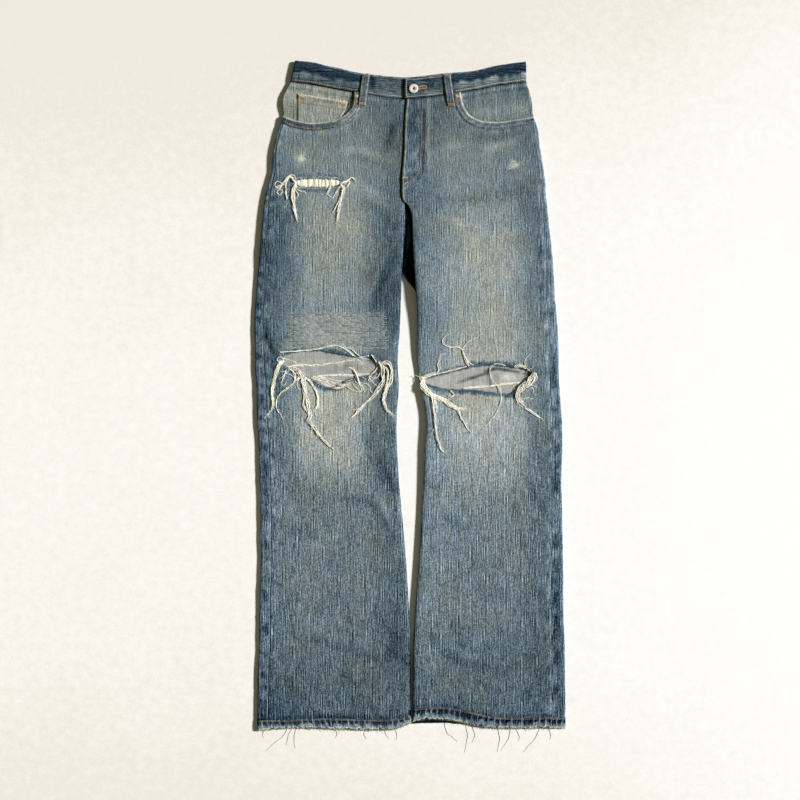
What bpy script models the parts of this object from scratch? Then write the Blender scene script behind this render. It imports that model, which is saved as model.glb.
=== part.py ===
"""Ripped straight-leg jeans lying flat on their back, front side up.

Every cut piece of denim is a thin wall of its own. The legs are lofted through sections that come
from the tables below: a back panel lies on the ground, turns up round the outer fold and ends at
the outseam, where the front panel starts. +Y points to the waist, +X to the wearer's left leg and
+Z up. Tables and sizes are in millimetres, and the meshes are scaled to metres.
"""
import bisect
import math
from collections import namedtuple

import bmesh
import bpy

MM = 0.001

# Driving sizes.
CLOTH = 1.2             # wall of one layer of denim
BAND_CLOTH = 2.6        # waistband, two layers and their turnings
HEM_CLOTH = 2.4         # hem, turned up twice
SEAM_GAP = 0.3          # between pieces that meet
LAYER_RISE = 4.5        # from the back layer's middle to the front layer's middle
LAYER_SAG = 0.9         # how much the front layer sinks between the seams
SEAT_LIFT = 1.5         # the seat lies on its patch pockets
INNER_ROUNDING = 9.0    # the front layer turns down to the back layer over this width
FLY_DROP = 1.2          # the right front sinks under the fly
FLY_LIFT = 1.0          # the left front stands over it
TAB_LIFT = 3.4          # the waistband tab stands over the button stand
TAB_EDGE = -8.0         # where the tab of the left front of the band ends
STAND_END = 27.0        # where the button stand under it ends
BAND_END_SLANT = 7.5    # the band's right end leans in by this much towards its top
BAND_WRAP = 8.0         # how far the back of the band comes round to the front
BACK_BAND_RISE = 2.5    # the back of the band shows above the front, away from the sides
FACING_DEPTH = 17.0     # how far a facing goes on behind the pocket's mouth
LOOP_WIDTH = 11.5
LOOP_LENGTH = 52.0
LOOP_GAP = 0.4          # between a front loop's ends and the band
LOOP_BOW = 0.6          # and how much more its middle stands off
BUTTON_CENTRE = (6.6, 495.6)
BUTTON_RADIUS = 7.5
SHANK_RADIUS = 1.2
BUTTONHOLE_LENGTH = 22.0
BUTTONHOLE_WIDTH = 3.2
BUTTONHOLE_LEAN = 8.0   # degrees
RIVET_RADIUS = 3.0
WEFT_WALL = 1.0         # the loose weft in the rip on the thigh

# Levels of the middle of a layer above the ground.
FRONT_BAND_LEVEL = 6.2
BACK_BAND_LEVEL = CLOTH + SEAM_GAP + BAND_CLOTH / 2
FACING_LEVEL = CLOTH + SEAT_LIFT + SEAM_GAP + CLOTH / 2

ARC_STEPS = 4           # facets round an outer fold
FLAT_STEPS = 7          # facets across a back layer
ACROSS_STEPS = 11       # places across a front panel, besides those of its rounded edge
BAND_STEPS = 24         # places along the back of the waistband
BUTTON_STEPS = 18
RIVET_STEPS = 10
TOP_LEVEL = 400.0       # the level rows of a leg run from here
HEM_LEVEL = -490.0      # to here
ROUNDS = 4              # a row that slants is found in so many rounds
CUTTER_REACH = 240.0    # how far out and up the cutters of the pocket mouths go
CUTTER_TOP = 530.0

Station = namedtuple("Station", "y outer inner wrap")
# One row for each section of a leg: its height, the outer fold, the front panel's inner edge, and
# how far the outseam lies inside the outer fold.
RIGHT_LEG = [
    Station(-542, -247.0, 2.9, 17.0),
    Station(-480, -245.5, 2.0, 17.0),
    Station(-390, -243.5, 1.0, 17.0),
    Station(-266, -241.0, -5.5, 17.0),
    Station(-137, -242.5, -17.0, 17.0),
    Station(-87, -244.0, -20.0, 16.5),
    Station(-32, -246.5, -20.5, 16.0),
    Station(15, -248.5, -17.0, 15.5),
    Station(57, -250.0, -19.0, 15.0),
    Station(110, -251.5, -15.5, 14.0),
    Station(165, -249.0, -13.5, 13.0),
    Station(200, -246.0, -12.5, 11.5),
    Station(230, -242.5, -11.0, 10.0),
    Station(262, -239.5, -8.5, 9.0),
    Station(289, -237.5, -7.5, 8.5),
    Station(310, -235.0, -7.5, 7.5),
    Station(323, -232.5, -4.0, 7.0),
    Station(347, -227.5, -1.0, 5.5),
    Station(364, -223.5, 0.0, 4.5),
    Station(400, -220.5, 2.0, 3.5),
    Station(430, -213.0, 3.0, 3.5),
    Station(452, -205.5, 3.0, 3.5),
    Station(480, -206.0, 4.0, 3.5),
    Station(508, -193.0, 4.0, 3.5),
]
LEFT_LEG = [
    Station(-542, 252.3, 6.6, 22.0),
    Station(-480, 252.0, 6.6, 22.0),
    Station(-390, 250.5, 7.0, 21.0),
    Station(-266, 248.5, 15.0, 20.0),
    Station(-137, 245.5, 22.5, 17.0),
    Station(-87, 247.5, 24.5, 16.5),
    Station(-32, 246.5, 26.5, 16.0),
    Station(15, 243.0, 17.0, 15.5),
    Station(57, 241.5, 12.0, 15.0),
    Station(110, 239.5, 12.5, 15.0),
    Station(165, 235.5, 10.5, 14.0),
    Station(200, 233.0, 8.0, 12.0),
    Station(230, 230.5, 6.0, 10.5),
    Station(262, 227.0, 4.5, 9.5),
    Station(289, 224.5, 3.5, 8.5),
    Station(310, 222.0, -6.5, 7.5),
    Station(323, 220.5, -11.0, 7.0),
    Station(347, 219.0, -12.0, 5.5),
    Station(364, 217.5, -11.0, 4.5),
    Station(400, 211.5, -8.0, 3.5),
    Station(430, 208.0, -7.5, 3.5),
    Station(452, 201.0, -6.5, 3.5),
    Station(480, 197.5, -4.0, 3.5),
    Station(508, 189.0, -3.5, 3.5),
]

WaistPoint = namedtuple("WaistPoint", "x seam top")
# The waistband's lower seam and upper edge, from the right side fold to the left one.
WAIST = [
    WaistPoint(-193, 508.0, 542.0),
    WaistPoint(-158, 504.0, 538.5),
    WaistPoint(-121, 497.0, 529.5),
    WaistPoint(-85, 490.5, 520.5),
    WaistPoint(-45, 483.5, 515.5),
    WaistPoint(-8, 480.0, 512.5),
    WaistPoint(22, 481.5, 515.0),
    WaistPoint(54, 486.0, 519.0),
    WaistPoint(106, 495.0, 523.5),
    WaistPoint(139, 501.5, 533.0),
    WaistPoint(189, 508.0, 540.5),
]

HemPoint = namedtuple("HemPoint", "x front_bottom front_top back_bottom back_top")
RIGHT_HEM = [
    HemPoint(-252, -542.0, -528.0, -542.0, -528.0),
    HemPoint(-190, -538.0, -526.5, -538.5, -526.5),
    HemPoint(-134, -539.0, -525.0, -539.5, -525.0),
    HemPoint(-28, -540.0, -526.5, -540.5, -526.5),
    HemPoint(5, -529.0, -519.0, -530.0, -519.0),
]
LEFT_HEM = [
    HemPoint(5, -528.0, -510.0, -530.5, -515.0),
    HemPoint(25, -524.0, -508.0, -530.0, -515.0),
    HemPoint(60, -524.5, -508.0, -530.0, -515.0),
    HemPoint(95, -531.0, -514.0, -533.0, -518.0),
    HemPoint(112, -535.5, -518.5, -536.5, -521.0),
    HemPoint(147, -538.0, -524.0, -539.0, -525.0),
    HemPoint(253, -537.5, -523.0, -538.0, -524.0),
]

Fold = namedtuple("Fold", "x y run lean width height")
# Soft ridges (and troughs, where the height is below zero) that cross the front panels.
FOLDS = [
    Fold(-60, 275, 190, 25, 34, 0.50),
    Fold(-90, 225, 200, 18, 36, -0.50),
    Fold(75, 268, 190, -24, 34, 0.50),
    Fold(105, 215, 200, -16, 36, -0.50),
    Fold(-150, 110, 170, 8, 40, 0.45),
    Fold(150, 110, 170, -10, 40, 0.45),
    Fold(-95, -45, 200, -14, 46, 0.50),
    Fold(120, -60, 210, 12, 46, 0.50),
    Fold(-150, -180, 220, 74, 44, 0.45),
    Fold(80, -200, 240, 82, 44, 0.45),
    Fold(-80, -360, 230, 84, 48, 0.50),
    Fold(165, -350, 240, 96, 48, 0.50),
    Fold(-180, -440, 150, 78, 44, -0.45),
    Fold(70, -450, 150, 88, 44, -0.45),
]

# Where a pocket's mouth runs, from the waistband to the outseam.
RIGHT_MOUTH = [(-89, 492), (-90, 473), (-97, 460), (-109, 450), (-128, 443), (-158, 440),
               (-182, 443.5), (-206, 452)]
LEFT_MOUTH = [(82, 491), (86, 471), (96, 454), (115, 444), (140, 441.5), (170, 445), (202, 450.5)]

# Outlines of the worn-through holes, anticlockwise from the left tip.
RIGHT_KNEE_RIP = [(-212, 57), (-195, 43), (-171, 31.5), (-145, 17), (-121, 12), (-98, 25), (-61, 33),
                  (-48, 38), (-53, 55), (-62, 65), (-80, 61.5), (-117, 69), (-145, 73), (-186, 72)]
LEFT_KNEE_RIP = [(18.5, 25), (31, 17), (59, 10), (106, 7.5), (152, 2.5), (169, 4), (176, 14), (190, 28),
                 (204, 32), (186, 43), (148, 49), (118, 49.5), (77, 41), (40, 31.5)]
THIGH_RIP = [(-188, 344), (-180, 337), (-150, 335.5), (-118, 337), (-110, 344), (-118, 351),
             (-150, 352.5), (-180, 351)]

Colour = namedtuple("Colour", "base roughness metallic")
DENIM = Colour((118, 131, 136), 0.92, 0.0)
DENIM_REVERSE = Colour((96, 112, 120), 0.92, 0.0)
DENIM_DARK = Colour((56, 68, 82), 0.92, 0.0)
DENIM_PALE = Colour((138, 147, 140), 0.92, 0.0)
WEFT = Colour((224, 217, 196), 0.95, 0.0)
NICKEL = Colour((190, 186, 172), 0.38, 1.0)
COPPER = Colour((150, 112, 84), 0.5, 1.0)


def ramp(value, low, high):
    """An S curve from 0 at low to 1 at high."""
    t = min(max((value - low) / (high - low), 0.0), 1.0)
    return t * t * (3.0 - 2.0 * t)


def mix(start, end, t):
    return start + (end - start) * t


def curve_through(keys, values):
    """A smooth function through the values at the rising keys."""
    last = len(keys) - 1
    slopes = []
    for i in range(last + 1):
        before = max(i - 1, 0)
        after = min(i + 1, last)
        slopes.append((values[after] - values[before]) / (keys[after] - keys[before]))

    def value(at):
        at = min(max(at, keys[0]), keys[last])
        i = min(bisect.bisect_right(keys, at) - 1, last - 1)
        span = keys[i + 1] - keys[i]
        t = (at - keys[i]) / span
        rise = values[i] * (2 * t**3 - 3 * t**2 + 1) + values[i + 1] * (3 * t**2 - 2 * t**3)
        return rise + span * (slopes[i] * (t**3 - 2 * t**2 + t) + slopes[i + 1] * (t**3 - t**2))

    return value


def column(table, key, field):
    """One column of a table as a smooth function of another."""
    keys = [getattr(row, key) for row in table]
    return curve_through(keys, [getattr(row, field) for row in table])


waist_seam = column(WAIST, "x", "seam")
waist_top = column(WAIST, "x", "top")
centre_back = curve_through([200, 320, 510], [-10.5, -3.0, 0.0])


class Leg:
    """The edges of one leg as functions of the height."""

    def __init__(self, stations, hem, side, crotch_tip):
        self.side = side
        self.outer = column(stations, "y", "outer")
        self.inner = column(stations, "y", "inner")
        self.wrap = column(stations, "y", "wrap")
        self.hem = {name: column(hem, "x", name) for name in HemPoint._fields[1:]}
        self.crotch_tip = crotch_tip

    def outseam(self, y):
        return self.outer(y) - self.side * self.wrap(y)

    def back_inner(self, y):
        """The centre back seam down to the crotch, and the front's inner edge below its tip."""
        seam = centre_back(y) + self.side * SEAM_GAP / 2
        return mix(self.inner(y), seam, ramp(y, self.crotch_tip, 200))


RIGHT = Leg(RIGHT_LEG, RIGHT_HEM, -1, 190)
LEFT = Leg(LEFT_LEG, LEFT_HEM, 1, 164)


def yoke_seam(x):
    """The seam between yoke and seat: a shallow V that is deepest at the centre back."""
    return mix(415.0, 446.0, min(abs(x) / 205.0, 1.0))


def back_height(y):
    """The middle of the back layer, which lies on the ground and, at the seat, on the pockets."""
    return CLOTH / 2 + SEAT_LIFT * ramp(y, 195, 228)


def fold_height(x, y):
    """The soft ridges and troughs at a point."""
    total = 0.0
    for fold in FOLDS:
        lean = math.radians(fold.lean)
        along = (x - fold.x) * math.cos(lean) + (y - fold.y) * math.sin(lean)
        across = (y - fold.y) * math.cos(lean) - (x - fold.x) * math.sin(lean)
        fade = math.exp(-(along / (0.5 * fold.run)) ** 4)
        total += fold.height * fade * math.exp(-(across / (0.5 * fold.width)) ** 2)
    return total


def front_height(leg, x, y, lowest):
    """The middle of the front layer. It never comes closer to the back layer than lowest."""
    seam = leg.outseam(y)
    inner = leg.inner(y)
    across = min(max((x - seam) / (inner - seam), 0.0), 1.0)
    below_pockets = 1.0 - ramp(y, 330, 400)
    slack = math.sin(math.pi * across)
    level = LAYER_RISE + below_pockets * slack * (fold_height(x, y) - LAYER_SAG)
    above_crotch = ramp(y, 300, 325)
    if leg is RIGHT:
        level -= FLY_DROP * above_crotch * ramp(x, -80, -30)
    else:
        level += FLY_LIFT * above_crotch * (1.0 - ramp(x, 5, 45))
    level = max(level, lowest)
    to_edge = min(abs(x - inner) / INNER_ROUNDING, 1.0)
    turned = 1.0 - math.sqrt(1.0 - (1.0 - to_edge) ** 2)
    closing = 1.0 - ramp(y, 270, 312)
    if leg is RIGHT:
        closing = 1.0 - ramp(y, 305, 325)
    level -= (level - lowest) * turned * closing
    return back_height(y) + level


def mesh_object(name, mesh, colour):
    """An object in the jeans collection, with a material of its own."""
    obj = bpy.data.objects.new(name, mesh)
    JEANS.objects.link(obj)
    material = bpy.data.materials.new(name + "_material")
    material.use_nodes = True
    shader = material.node_tree.nodes["Principled BSDF"]
    linear = [(channel / 255.0) ** 2.2 for channel in colour.base]
    shader.inputs["Base Color"].default_value = (*linear, 1.0)
    shader.inputs["Roughness"].default_value = colour.roughness
    shader.inputs["Metallic"].default_value = colour.metallic
    obj.data.materials.append(material)
    return obj


def sheet(name, rows, thickness, colour):
    """A wall of cloth lofted through rows of middle points, all with the same number of points."""
    width = len(rows[0])
    points = [(x * MM, y * MM, z * MM) for row in rows for x, y, z in row]
    faces = []
    for r in range(len(rows) - 1):
        for c in range(width - 1):
            start = r * width + c
            faces.append((start, start + 1, start + width + 1, start + width))
    mesh = bpy.data.meshes.new(name)
    mesh.from_pydata(points, [], faces)
    obj = mesh_object(name, mesh, colour)
    solidify = obj.modifiers.new("cloth", "SOLIDIFY")
    solidify.thickness = thickness * MM
    solidify.offset = 0.0
    solidify.use_even_offset = True
    return obj


def flat_mesh(name, outline, middle, thickness):
    """The closed mesh of a flat outline, from a filled and extruded curve."""
    curve = bpy.data.curves.new(name + "_outline", "CURVE")
    curve.dimensions = "2D"
    curve.fill_mode = "BOTH"
    curve.extrude = thickness * MM / 2
    spline = curve.splines.new("POLY")
    spline.points.add(len(outline) - 1)
    for point, (x, y) in zip(spline.points, outline):
        point.co = (x * MM, y * MM, 0.0, 1.0)
    spline.use_cyclic_u = True
    guide = bpy.data.objects.new(name + "_outline", curve)
    JEANS.objects.link(guide)
    depsgraph = bpy.context.evaluated_depsgraph_get()
    mesh = bpy.data.meshes.new_from_object(guide.evaluated_get(depsgraph))
    bpy.data.objects.remove(guide)
    bpy.data.curves.remove(curve)
    welded = bmesh.new()
    welded.from_mesh(mesh)
    bmesh.ops.remove_doubles(welded, verts=welded.verts, dist=0.00001)
    bmesh.ops.translate(welded, verts=welded.verts, vec=(0.0, 0.0, middle * MM))
    bmesh.ops.recalc_face_normals(welded, faces=welded.faces)
    welded.to_mesh(mesh)
    welded.free()
    mesh.name = name
    return mesh


def flat_piece(name, outline, middle, colour):
    return mesh_object(name, flat_mesh(name, outline, middle, CLOTH), colour)


def cut(obj, name, outline):
    """Cut an outline right through a piece."""
    cutter = bpy.data.objects.new(name, flat_mesh(name, outline, 6.0, 24.0))
    CUTTERS.objects.link(cutter)
    cutter.hide_render = True
    cutter.display_type = "WIRE"
    boolean = obj.modifiers.new(name, "BOOLEAN")
    boolean.operation = "DIFFERENCE"
    boolean.solver = "EXACT"
    boolean.object = cutter


def turned(name, profile, centre, steps, colour):
    """A round piece from (radius, height) points that run down its outer side."""
    mesh = bpy.data.meshes.new(name)
    points = [(radius * MM, 0.0, height * MM) for radius, height in profile]
    mesh.from_pydata(points, [(i, i + 1) for i in range(len(points) - 1)], [])
    obj = mesh_object(name, mesh, colour)
    obj.location = [value * MM for value in centre]
    screw = obj.modifiers.new("turn", "SCREW")
    screw.steps = steps
    screw.render_steps = steps
    screw.use_merge_vertices = True
    screw.merge_threshold = 0.00005
    screw.use_smooth_shade = True
    return obj


def rounded(points, closed, steps):
    """Points on a smooth curve through a short list of points."""
    count = len(points)
    spans = count if closed else count - 1
    result = []
    for i in range(spans):
        before = points[i - 1] if closed or i else points[0]
        here = points[i]
        there = points[(i + 1) % count]
        after = points[(i + 2) % count] if closed else points[min(i + 2, count - 1)]
        for s in range(steps):
            t = s / steps
            result.append(tuple(
                0.5 * (2 * b + (c - a) * t + (2 * a - 5 * b + 4 * c - d) * t**2
                       + (3 * b - a - 3 * c + d) * t**3)
                for a, b, c, d in zip(before, here, there, after)))
    if not closed:
        result.append(points[-1])
    return result


def front_row(leg, height_at, lowest):
    """Points across a front panel at a height that may change along the row."""
    near_edge = [0.5 * INNER_ROUNDING, 0.15 * INNER_ROUNDING, 0.0]
    row = []
    for c in range(ACROSS_STEPS + len(near_edge)):
        y = height_at(leg.outseam(0.0))
        for _ in range(ROUNDS):
            start = leg.outseam(y) - leg.side * SEAM_GAP / 2
            end = leg.inner(y)
            rounding = end + leg.side * INNER_ROUNDING
            if c < ACROSS_STEPS:
                x = mix(start, rounding, c / (ACROSS_STEPS - 1))
            else:
                x = end + leg.side * near_edge[c - ACROSS_STEPS]
            y = height_at(x)
        row.append((x, y, front_height(leg, x, y, lowest)))
    return row


def back_row(leg, height_at, thickness, rise):
    """Points across a back panel, round the outer fold and on to the outseam."""
    radius = rise / 2
    lift = (thickness - CLOTH) / 2
    places = [("flat", c / FLAT_STEPS) for c in range(FLAT_STEPS)]
    places += [("turn", s / ARC_STEPS) for s in range(ARC_STEPS + 1)]
    places += [("top", 0.5), ("top", 1.0)]
    row = []
    for kind, t in places:
        y = height_at(leg.outseam(0.0))
        for _ in range(ROUNDS):
            axis = leg.outer(y) - leg.side * (radius + thickness / 2)
            z = back_height(y) + lift
            if kind == "flat":
                x = mix(leg.back_inner(y), axis, t)
            elif kind == "turn":
                x = axis + leg.side * radius * math.sin(math.pi * t)
                z += radius * (1.0 - math.cos(math.pi * t))
            else:
                x = mix(axis, leg.outseam(y) + leg.side * SEAM_GAP / 2, t)
                z += rise
            y = height_at(x)
        row.append((x, y, z))
    return row


# Heights of the rows of the leg panels between their slanting top rows and the hem.
LEVEL_ROWS = [373, 346, 330, 318, 309, 298, 285, 270, 250, 228, 212, 200, 188, 176, 164, 140]
LEVEL_ROWS += range(112, -490, -33)


def rows_between(top_line, bottom_line, shares):
    """Height functions of rows that lie at shares of the way from one line down to another."""
    return [lambda x, t=t: mix(top_line(x), bottom_line(x), t) for t in shares]


def leg_rows(hem_line):
    """Height functions of a leg's rows from the yoke's seam down to the hem. The front and back
    panels share them, so that their facets meet at the outseam."""
    upper = rows_between(lambda x: yoke_seam(x) - SEAM_GAP / 2, lambda x: TOP_LEVEL, (0.0, 0.5, 1.0))
    level = [lambda x, y=y: y for y in LEVEL_ROWS]
    return upper + level + rows_between(lambda x: HEM_LEVEL, hem_line, (0.5, 1.0))


def front_panel(name, leg):
    """A front leg, from the waistband's seam to the hem's."""
    lowest = CLOTH + SEAM_GAP
    rows = rows_between(lambda x: waist_seam(x) - SEAM_GAP / 2, yoke_seam, (0.0, 0.33, 0.67))
    rows += leg_rows(lambda x: leg.hem["front_top"](x) + SEAM_GAP / 2)
    return sheet(name, [front_row(leg, row, lowest) for row in rows], CLOTH, DENIM)


def back_panel(name, leg):
    """A back leg, from the yoke's seam to the hem's."""
    rows = leg_rows(lambda x: leg.hem["back_top"](x) + SEAM_GAP / 2)
    points = [back_row(leg, row, CLOTH, LAYER_RISE) for row in rows]
    return sheet(name, points, CLOTH, DENIM_REVERSE)


def mouth_cutter(leg, mouth):
    """All that a pocket's mouth takes out of a front panel, with room to spare outside it."""
    beyond = leg.side * CUTTER_REACH
    corners = [(beyond, mouth[-1][1]), (beyond, CUTTER_TOP), (mouth[0][0], CUTTER_TOP)]
    return rounded(mouth, False, 3) + corners


def fronts():
    right = front_panel("front_right_panel", RIGHT)
    cut(right, "right_mouth_cutter", mouth_cutter(RIGHT, RIGHT_MOUTH))
    cut(right, "right_knee_cutter", rounded(RIGHT_KNEE_RIP, True, 2))
    cut(right, "thigh_cutter", rounded(THIGH_RIP, True, 2))
    left = front_panel("front_left_panel", LEFT)
    cut(left, "left_mouth_cutter", mouth_cutter(LEFT, LEFT_MOUTH))
    cut(left, "left_knee_cutter", rounded(LEFT_KNEE_RIP, True, 2))


def hems():
    """The turned-up hems: the front ones lie between the seams, the back ones wrap the folds."""
    lowest = HEM_CLOTH + SEAM_GAP + (HEM_CLOTH - CLOTH) / 2
    rise = LAYER_RISE - (HEM_CLOTH - CLOTH) / 2
    for side_name, leg in (("right", RIGHT), ("left", LEFT)):
        front = rows_between(lambda x: leg.hem["front_top"](x) - SEAM_GAP / 2,
                             leg.hem["front_bottom"], (0.0, 0.5, 1.0))
        back = rows_between(lambda x: leg.hem["back_top"](x) - SEAM_GAP / 2,
                            leg.hem["back_bottom"], (0.0, 0.5, 1.0))
        sheet("hem_front_" + side_name, [front_row(leg, row, lowest) for row in front],
              HEM_CLOTH, DENIM_DARK)
        sheet("hem_back_" + side_name, [back_row(leg, row, HEM_CLOTH, rise) for row in back],
              HEM_CLOTH, DENIM_DARK)


def yokes():
    """The two halves of the yoke, flat above the seat."""
    for name, leg in (("yoke_right", RIGHT), ("yoke_left", LEFT)):
        middle = centre_back(460) + leg.side * SEAM_GAP / 2
        top = []
        bottom = []
        for step in range(13):
            x = mix(middle, leg.outer(508), step / 12)
            top.append((x, waist_seam(x) - SEAM_GAP / 2))
            x = mix(middle, leg.outer(452), step / 12)
            bottom.append((x, yoke_seam(x) + SEAM_GAP / 2))
        fold = [(leg.outer(y), y) for y in (496, 482, 466)]
        outline = top + fold + bottom[::-1]
        flat_piece(name, outline, CLOTH / 2 + SEAT_LIFT, DENIM_DARK)


def seat_pockets():
    """Two patch pockets under the seat, which the seat lies on."""
    half_top, half_bottom = 76.0, 70.0
    top, corner, tip = 408.0, 268.0, 250.0
    for name, centre in (("back_pocket_right", -106.0), ("back_pocket_left", 100.0)):
        outline = [(centre - half_top, top), (centre - half_bottom, corner), (centre, tip),
                   (centre + half_bottom, corner), (centre + half_top, top)]
        flat_piece(name, outline, CLOTH / 2, DENIM_DARK)


def band_point(x, t, z, back_rise):
    """A point of the waistband a share t up from its seam; its right end leans in."""
    lean = BAND_END_SLANT * t * (1.0 - ramp(x, -193, -120))
    away_from_sides = 1.0 - ramp(abs(x), 110, 150)
    top = waist_top(x) + back_rise * away_from_sides
    return (x + lean, mix(waist_seam(x), top, t), z)


def band_rows(places, back_rise):
    """Rows of waistband points, for (x, z) places along it."""
    return [[band_point(x, t, z, back_rise) for x, z in places] for t in (0.0, 0.5, 1.0)]


def waistbands():
    rise = FRONT_BAND_LEVEL - BACK_BAND_LEVEL
    radius = rise / 2
    reach = radius + BAND_CLOTH / 2
    right_axis = WAIST[0].x + reach
    left_axis = WAIST[-1].x - reach
    turn = [math.pi * s / ARC_STEPS for s in range(ARC_STEPS + 1)]
    middle = BACK_BAND_LEVEL + radius
    back = [(right_axis + BAND_WRAP, FRONT_BAND_LEVEL)]
    back += [(right_axis - radius * math.sin(a), middle + radius * math.cos(a)) for a in turn]
    back += [(mix(right_axis, left_axis, c / BAND_STEPS), BACK_BAND_LEVEL) for c in range(1, BAND_STEPS)]
    back += [(left_axis + radius * math.sin(a), middle - radius * math.cos(a)) for a in turn]
    back += [(left_axis - BAND_WRAP, FRONT_BAND_LEVEL)]
    sheet("waistband_back", band_rows(back, BACK_BAND_RISE), BAND_CLOTH, DENIM_DARK)

    start = right_axis + BAND_WRAP + SEAM_GAP
    right = [(mix(start, STAND_END, c / 18), FRONT_BAND_LEVEL) for c in range(19)]
    sheet("waistband_front_right", band_rows(right, 0.0), BAND_CLOTH, DENIM_DARK)

    end = left_axis - BAND_WRAP - SEAM_GAP
    xs = [TAB_EDGE, 6.0, 16.0, 26.0, 32.0, 38.0, 44.0, 50.0]
    xs += [mix(50.0, end, c / 10) for c in range(1, 11)]
    left = [(x, FRONT_BAND_LEVEL + TAB_LIFT * (1.0 - ramp(x, 26, 50))) for x in xs]
    tab = sheet("waistband_front_left", band_rows(left, 0.0), BAND_CLOTH, DENIM_DARK)
    cut(tab, "buttonhole_cutter", buttonhole())


def buttonhole():
    """A slot with round ends that starts at the button's shank and follows the band."""
    half = BUTTONHOLE_WIDTH / 2
    lean = math.radians(BUTTONHOLE_LEAN)
    outline = []
    for end, first in ((0.0, 90), (BUTTONHOLE_LENGTH, -90)):
        for step in range(5):
            angle = math.radians(first + 45 * step)
            along = end + half * math.cos(angle)
            across = half * math.sin(angle)
            outline.append((BUTTON_CENTRE[0] + along * math.cos(lean) - across * math.sin(lean),
                            BUTTON_CENTRE[1] + along * math.sin(lean) + across * math.cos(lean)))
    return outline


def front_loops():
    """The two belt loops that stand on the front of the band, bowed up in the middle."""
    level = FRONT_BAND_LEVEL + BAND_CLOTH / 2 + LOOP_GAP + CLOTH / 2
    ends = (("belt_loop_front_right", (-70.0, 520.5), (-77.0, 468.5)),
            ("belt_loop_front_left", (60.0, 520.5), (67.5, 467.5)))
    for name, top, bottom in ends:
        rows = []
        for step in range(7):
            t = step / 6
            x = mix(top[0], bottom[0], t)
            y = mix(top[1], bottom[1], t)
            z = level + LOOP_BOW * math.sin(math.pi * t)
            rows.append([(x + LOOP_WIDTH * c, y, z) for c in (-0.5, 0.0, 0.5)])
        sheet(name, rows, CLOTH, DENIM)


def back_loops():
    """Three belt loops under the back of the band, on the ground."""
    for name, x in (("belt_loop_back_right", -110.0), ("belt_loop_back_centre", 0.0),
                    ("belt_loop_back_left", 108.0)):
        top = waist_top(x) + 1.0
        half = LOOP_WIDTH / 2
        outline = [(x - half, top - LOOP_LENGTH), (x + half, top - LOOP_LENGTH), (x + half, top),
                   (x - half, top)]
        flat_piece(name, outline, CLOTH / 2, DENIM_DARK)


def facings():
    """The facings behind the pocket mouths, from the waistband to below the mouth."""
    for name, leg, mouth in (("pocket_facing_right", RIGHT, RIGHT_MOUTH),
                             ("pocket_facing_left", LEFT, LEFT_MOUTH)):
        side_x = leg.outer(508)
        inside_x = mouth[0][0] - leg.side * FACING_DEPTH
        top = []
        for step in range(9):
            x = mix(inside_x, side_x, step / 8)
            top.append((x, waist_seam(x) - SEAM_GAP / 2))
        fold = [(leg.outer(y), y) for y in (496, 482, 468, 456)]
        behind = [(leg.outer(y) - leg.side * 8.0, y) for y in (450, 432)]
        lower = [(x - leg.side * FACING_DEPTH * 0.6, y - FACING_DEPTH) for x, y in mouth[1:-1]][::-1]
        flat_piece(name, top + fold + behind + lower, FACING_LEVEL, DENIM_PALE)


def coin_pocket():
    """The small pocket on the right facing; its lower edge goes on behind the mouth."""
    outline = [(-181.5, 488.5), (-100.0, 475.5), (-103.0, 463.0), (-112.0, 447.0), (-124.0, 434.0),
               (-181.0, 432.0)]
    flat_piece("coin_pocket", outline, FACING_LEVEL + CLOTH + SEAM_GAP, DENIM_PALE)


def fly_shield():
    """The underlap that closes the front behind the fly's edge."""
    end = [(math.cos(math.radians(a)), math.sin(math.radians(a))) for a in (180, 225, 270, 315, 360)]
    middle, half, round_from = 7.0, 18.0, 358.0
    bottom = [(middle + half * x, round_from + half * y) for x, y in end]
    places = [middle + half * share for share in (1.0, 0.5, 0.0, -0.5, -1.0)]
    outline = [(x, waist_seam(x) - SEAM_GAP) for x in places] + bottom
    flat_piece("fly_shield", outline, FACING_LEVEL, DENIM_DARK)


def thigh_threads():
    """The loose weft that fills the rip on the right thigh, as one plain wall."""
    rows = []
    for y, start, end in ((350.6, -178, -121), (344.0, -186, -112), (337.4, -178, -121)):
        row = []
        for step in range(7):
            x = mix(start, end, step / 6)
            row.append((x, y, front_height(RIGHT, x, y, CLOTH + SEAM_GAP)))
        rows.append(row)
    sheet("thigh_rip_threads", rows, WEFT_WALL, WEFT)


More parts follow.
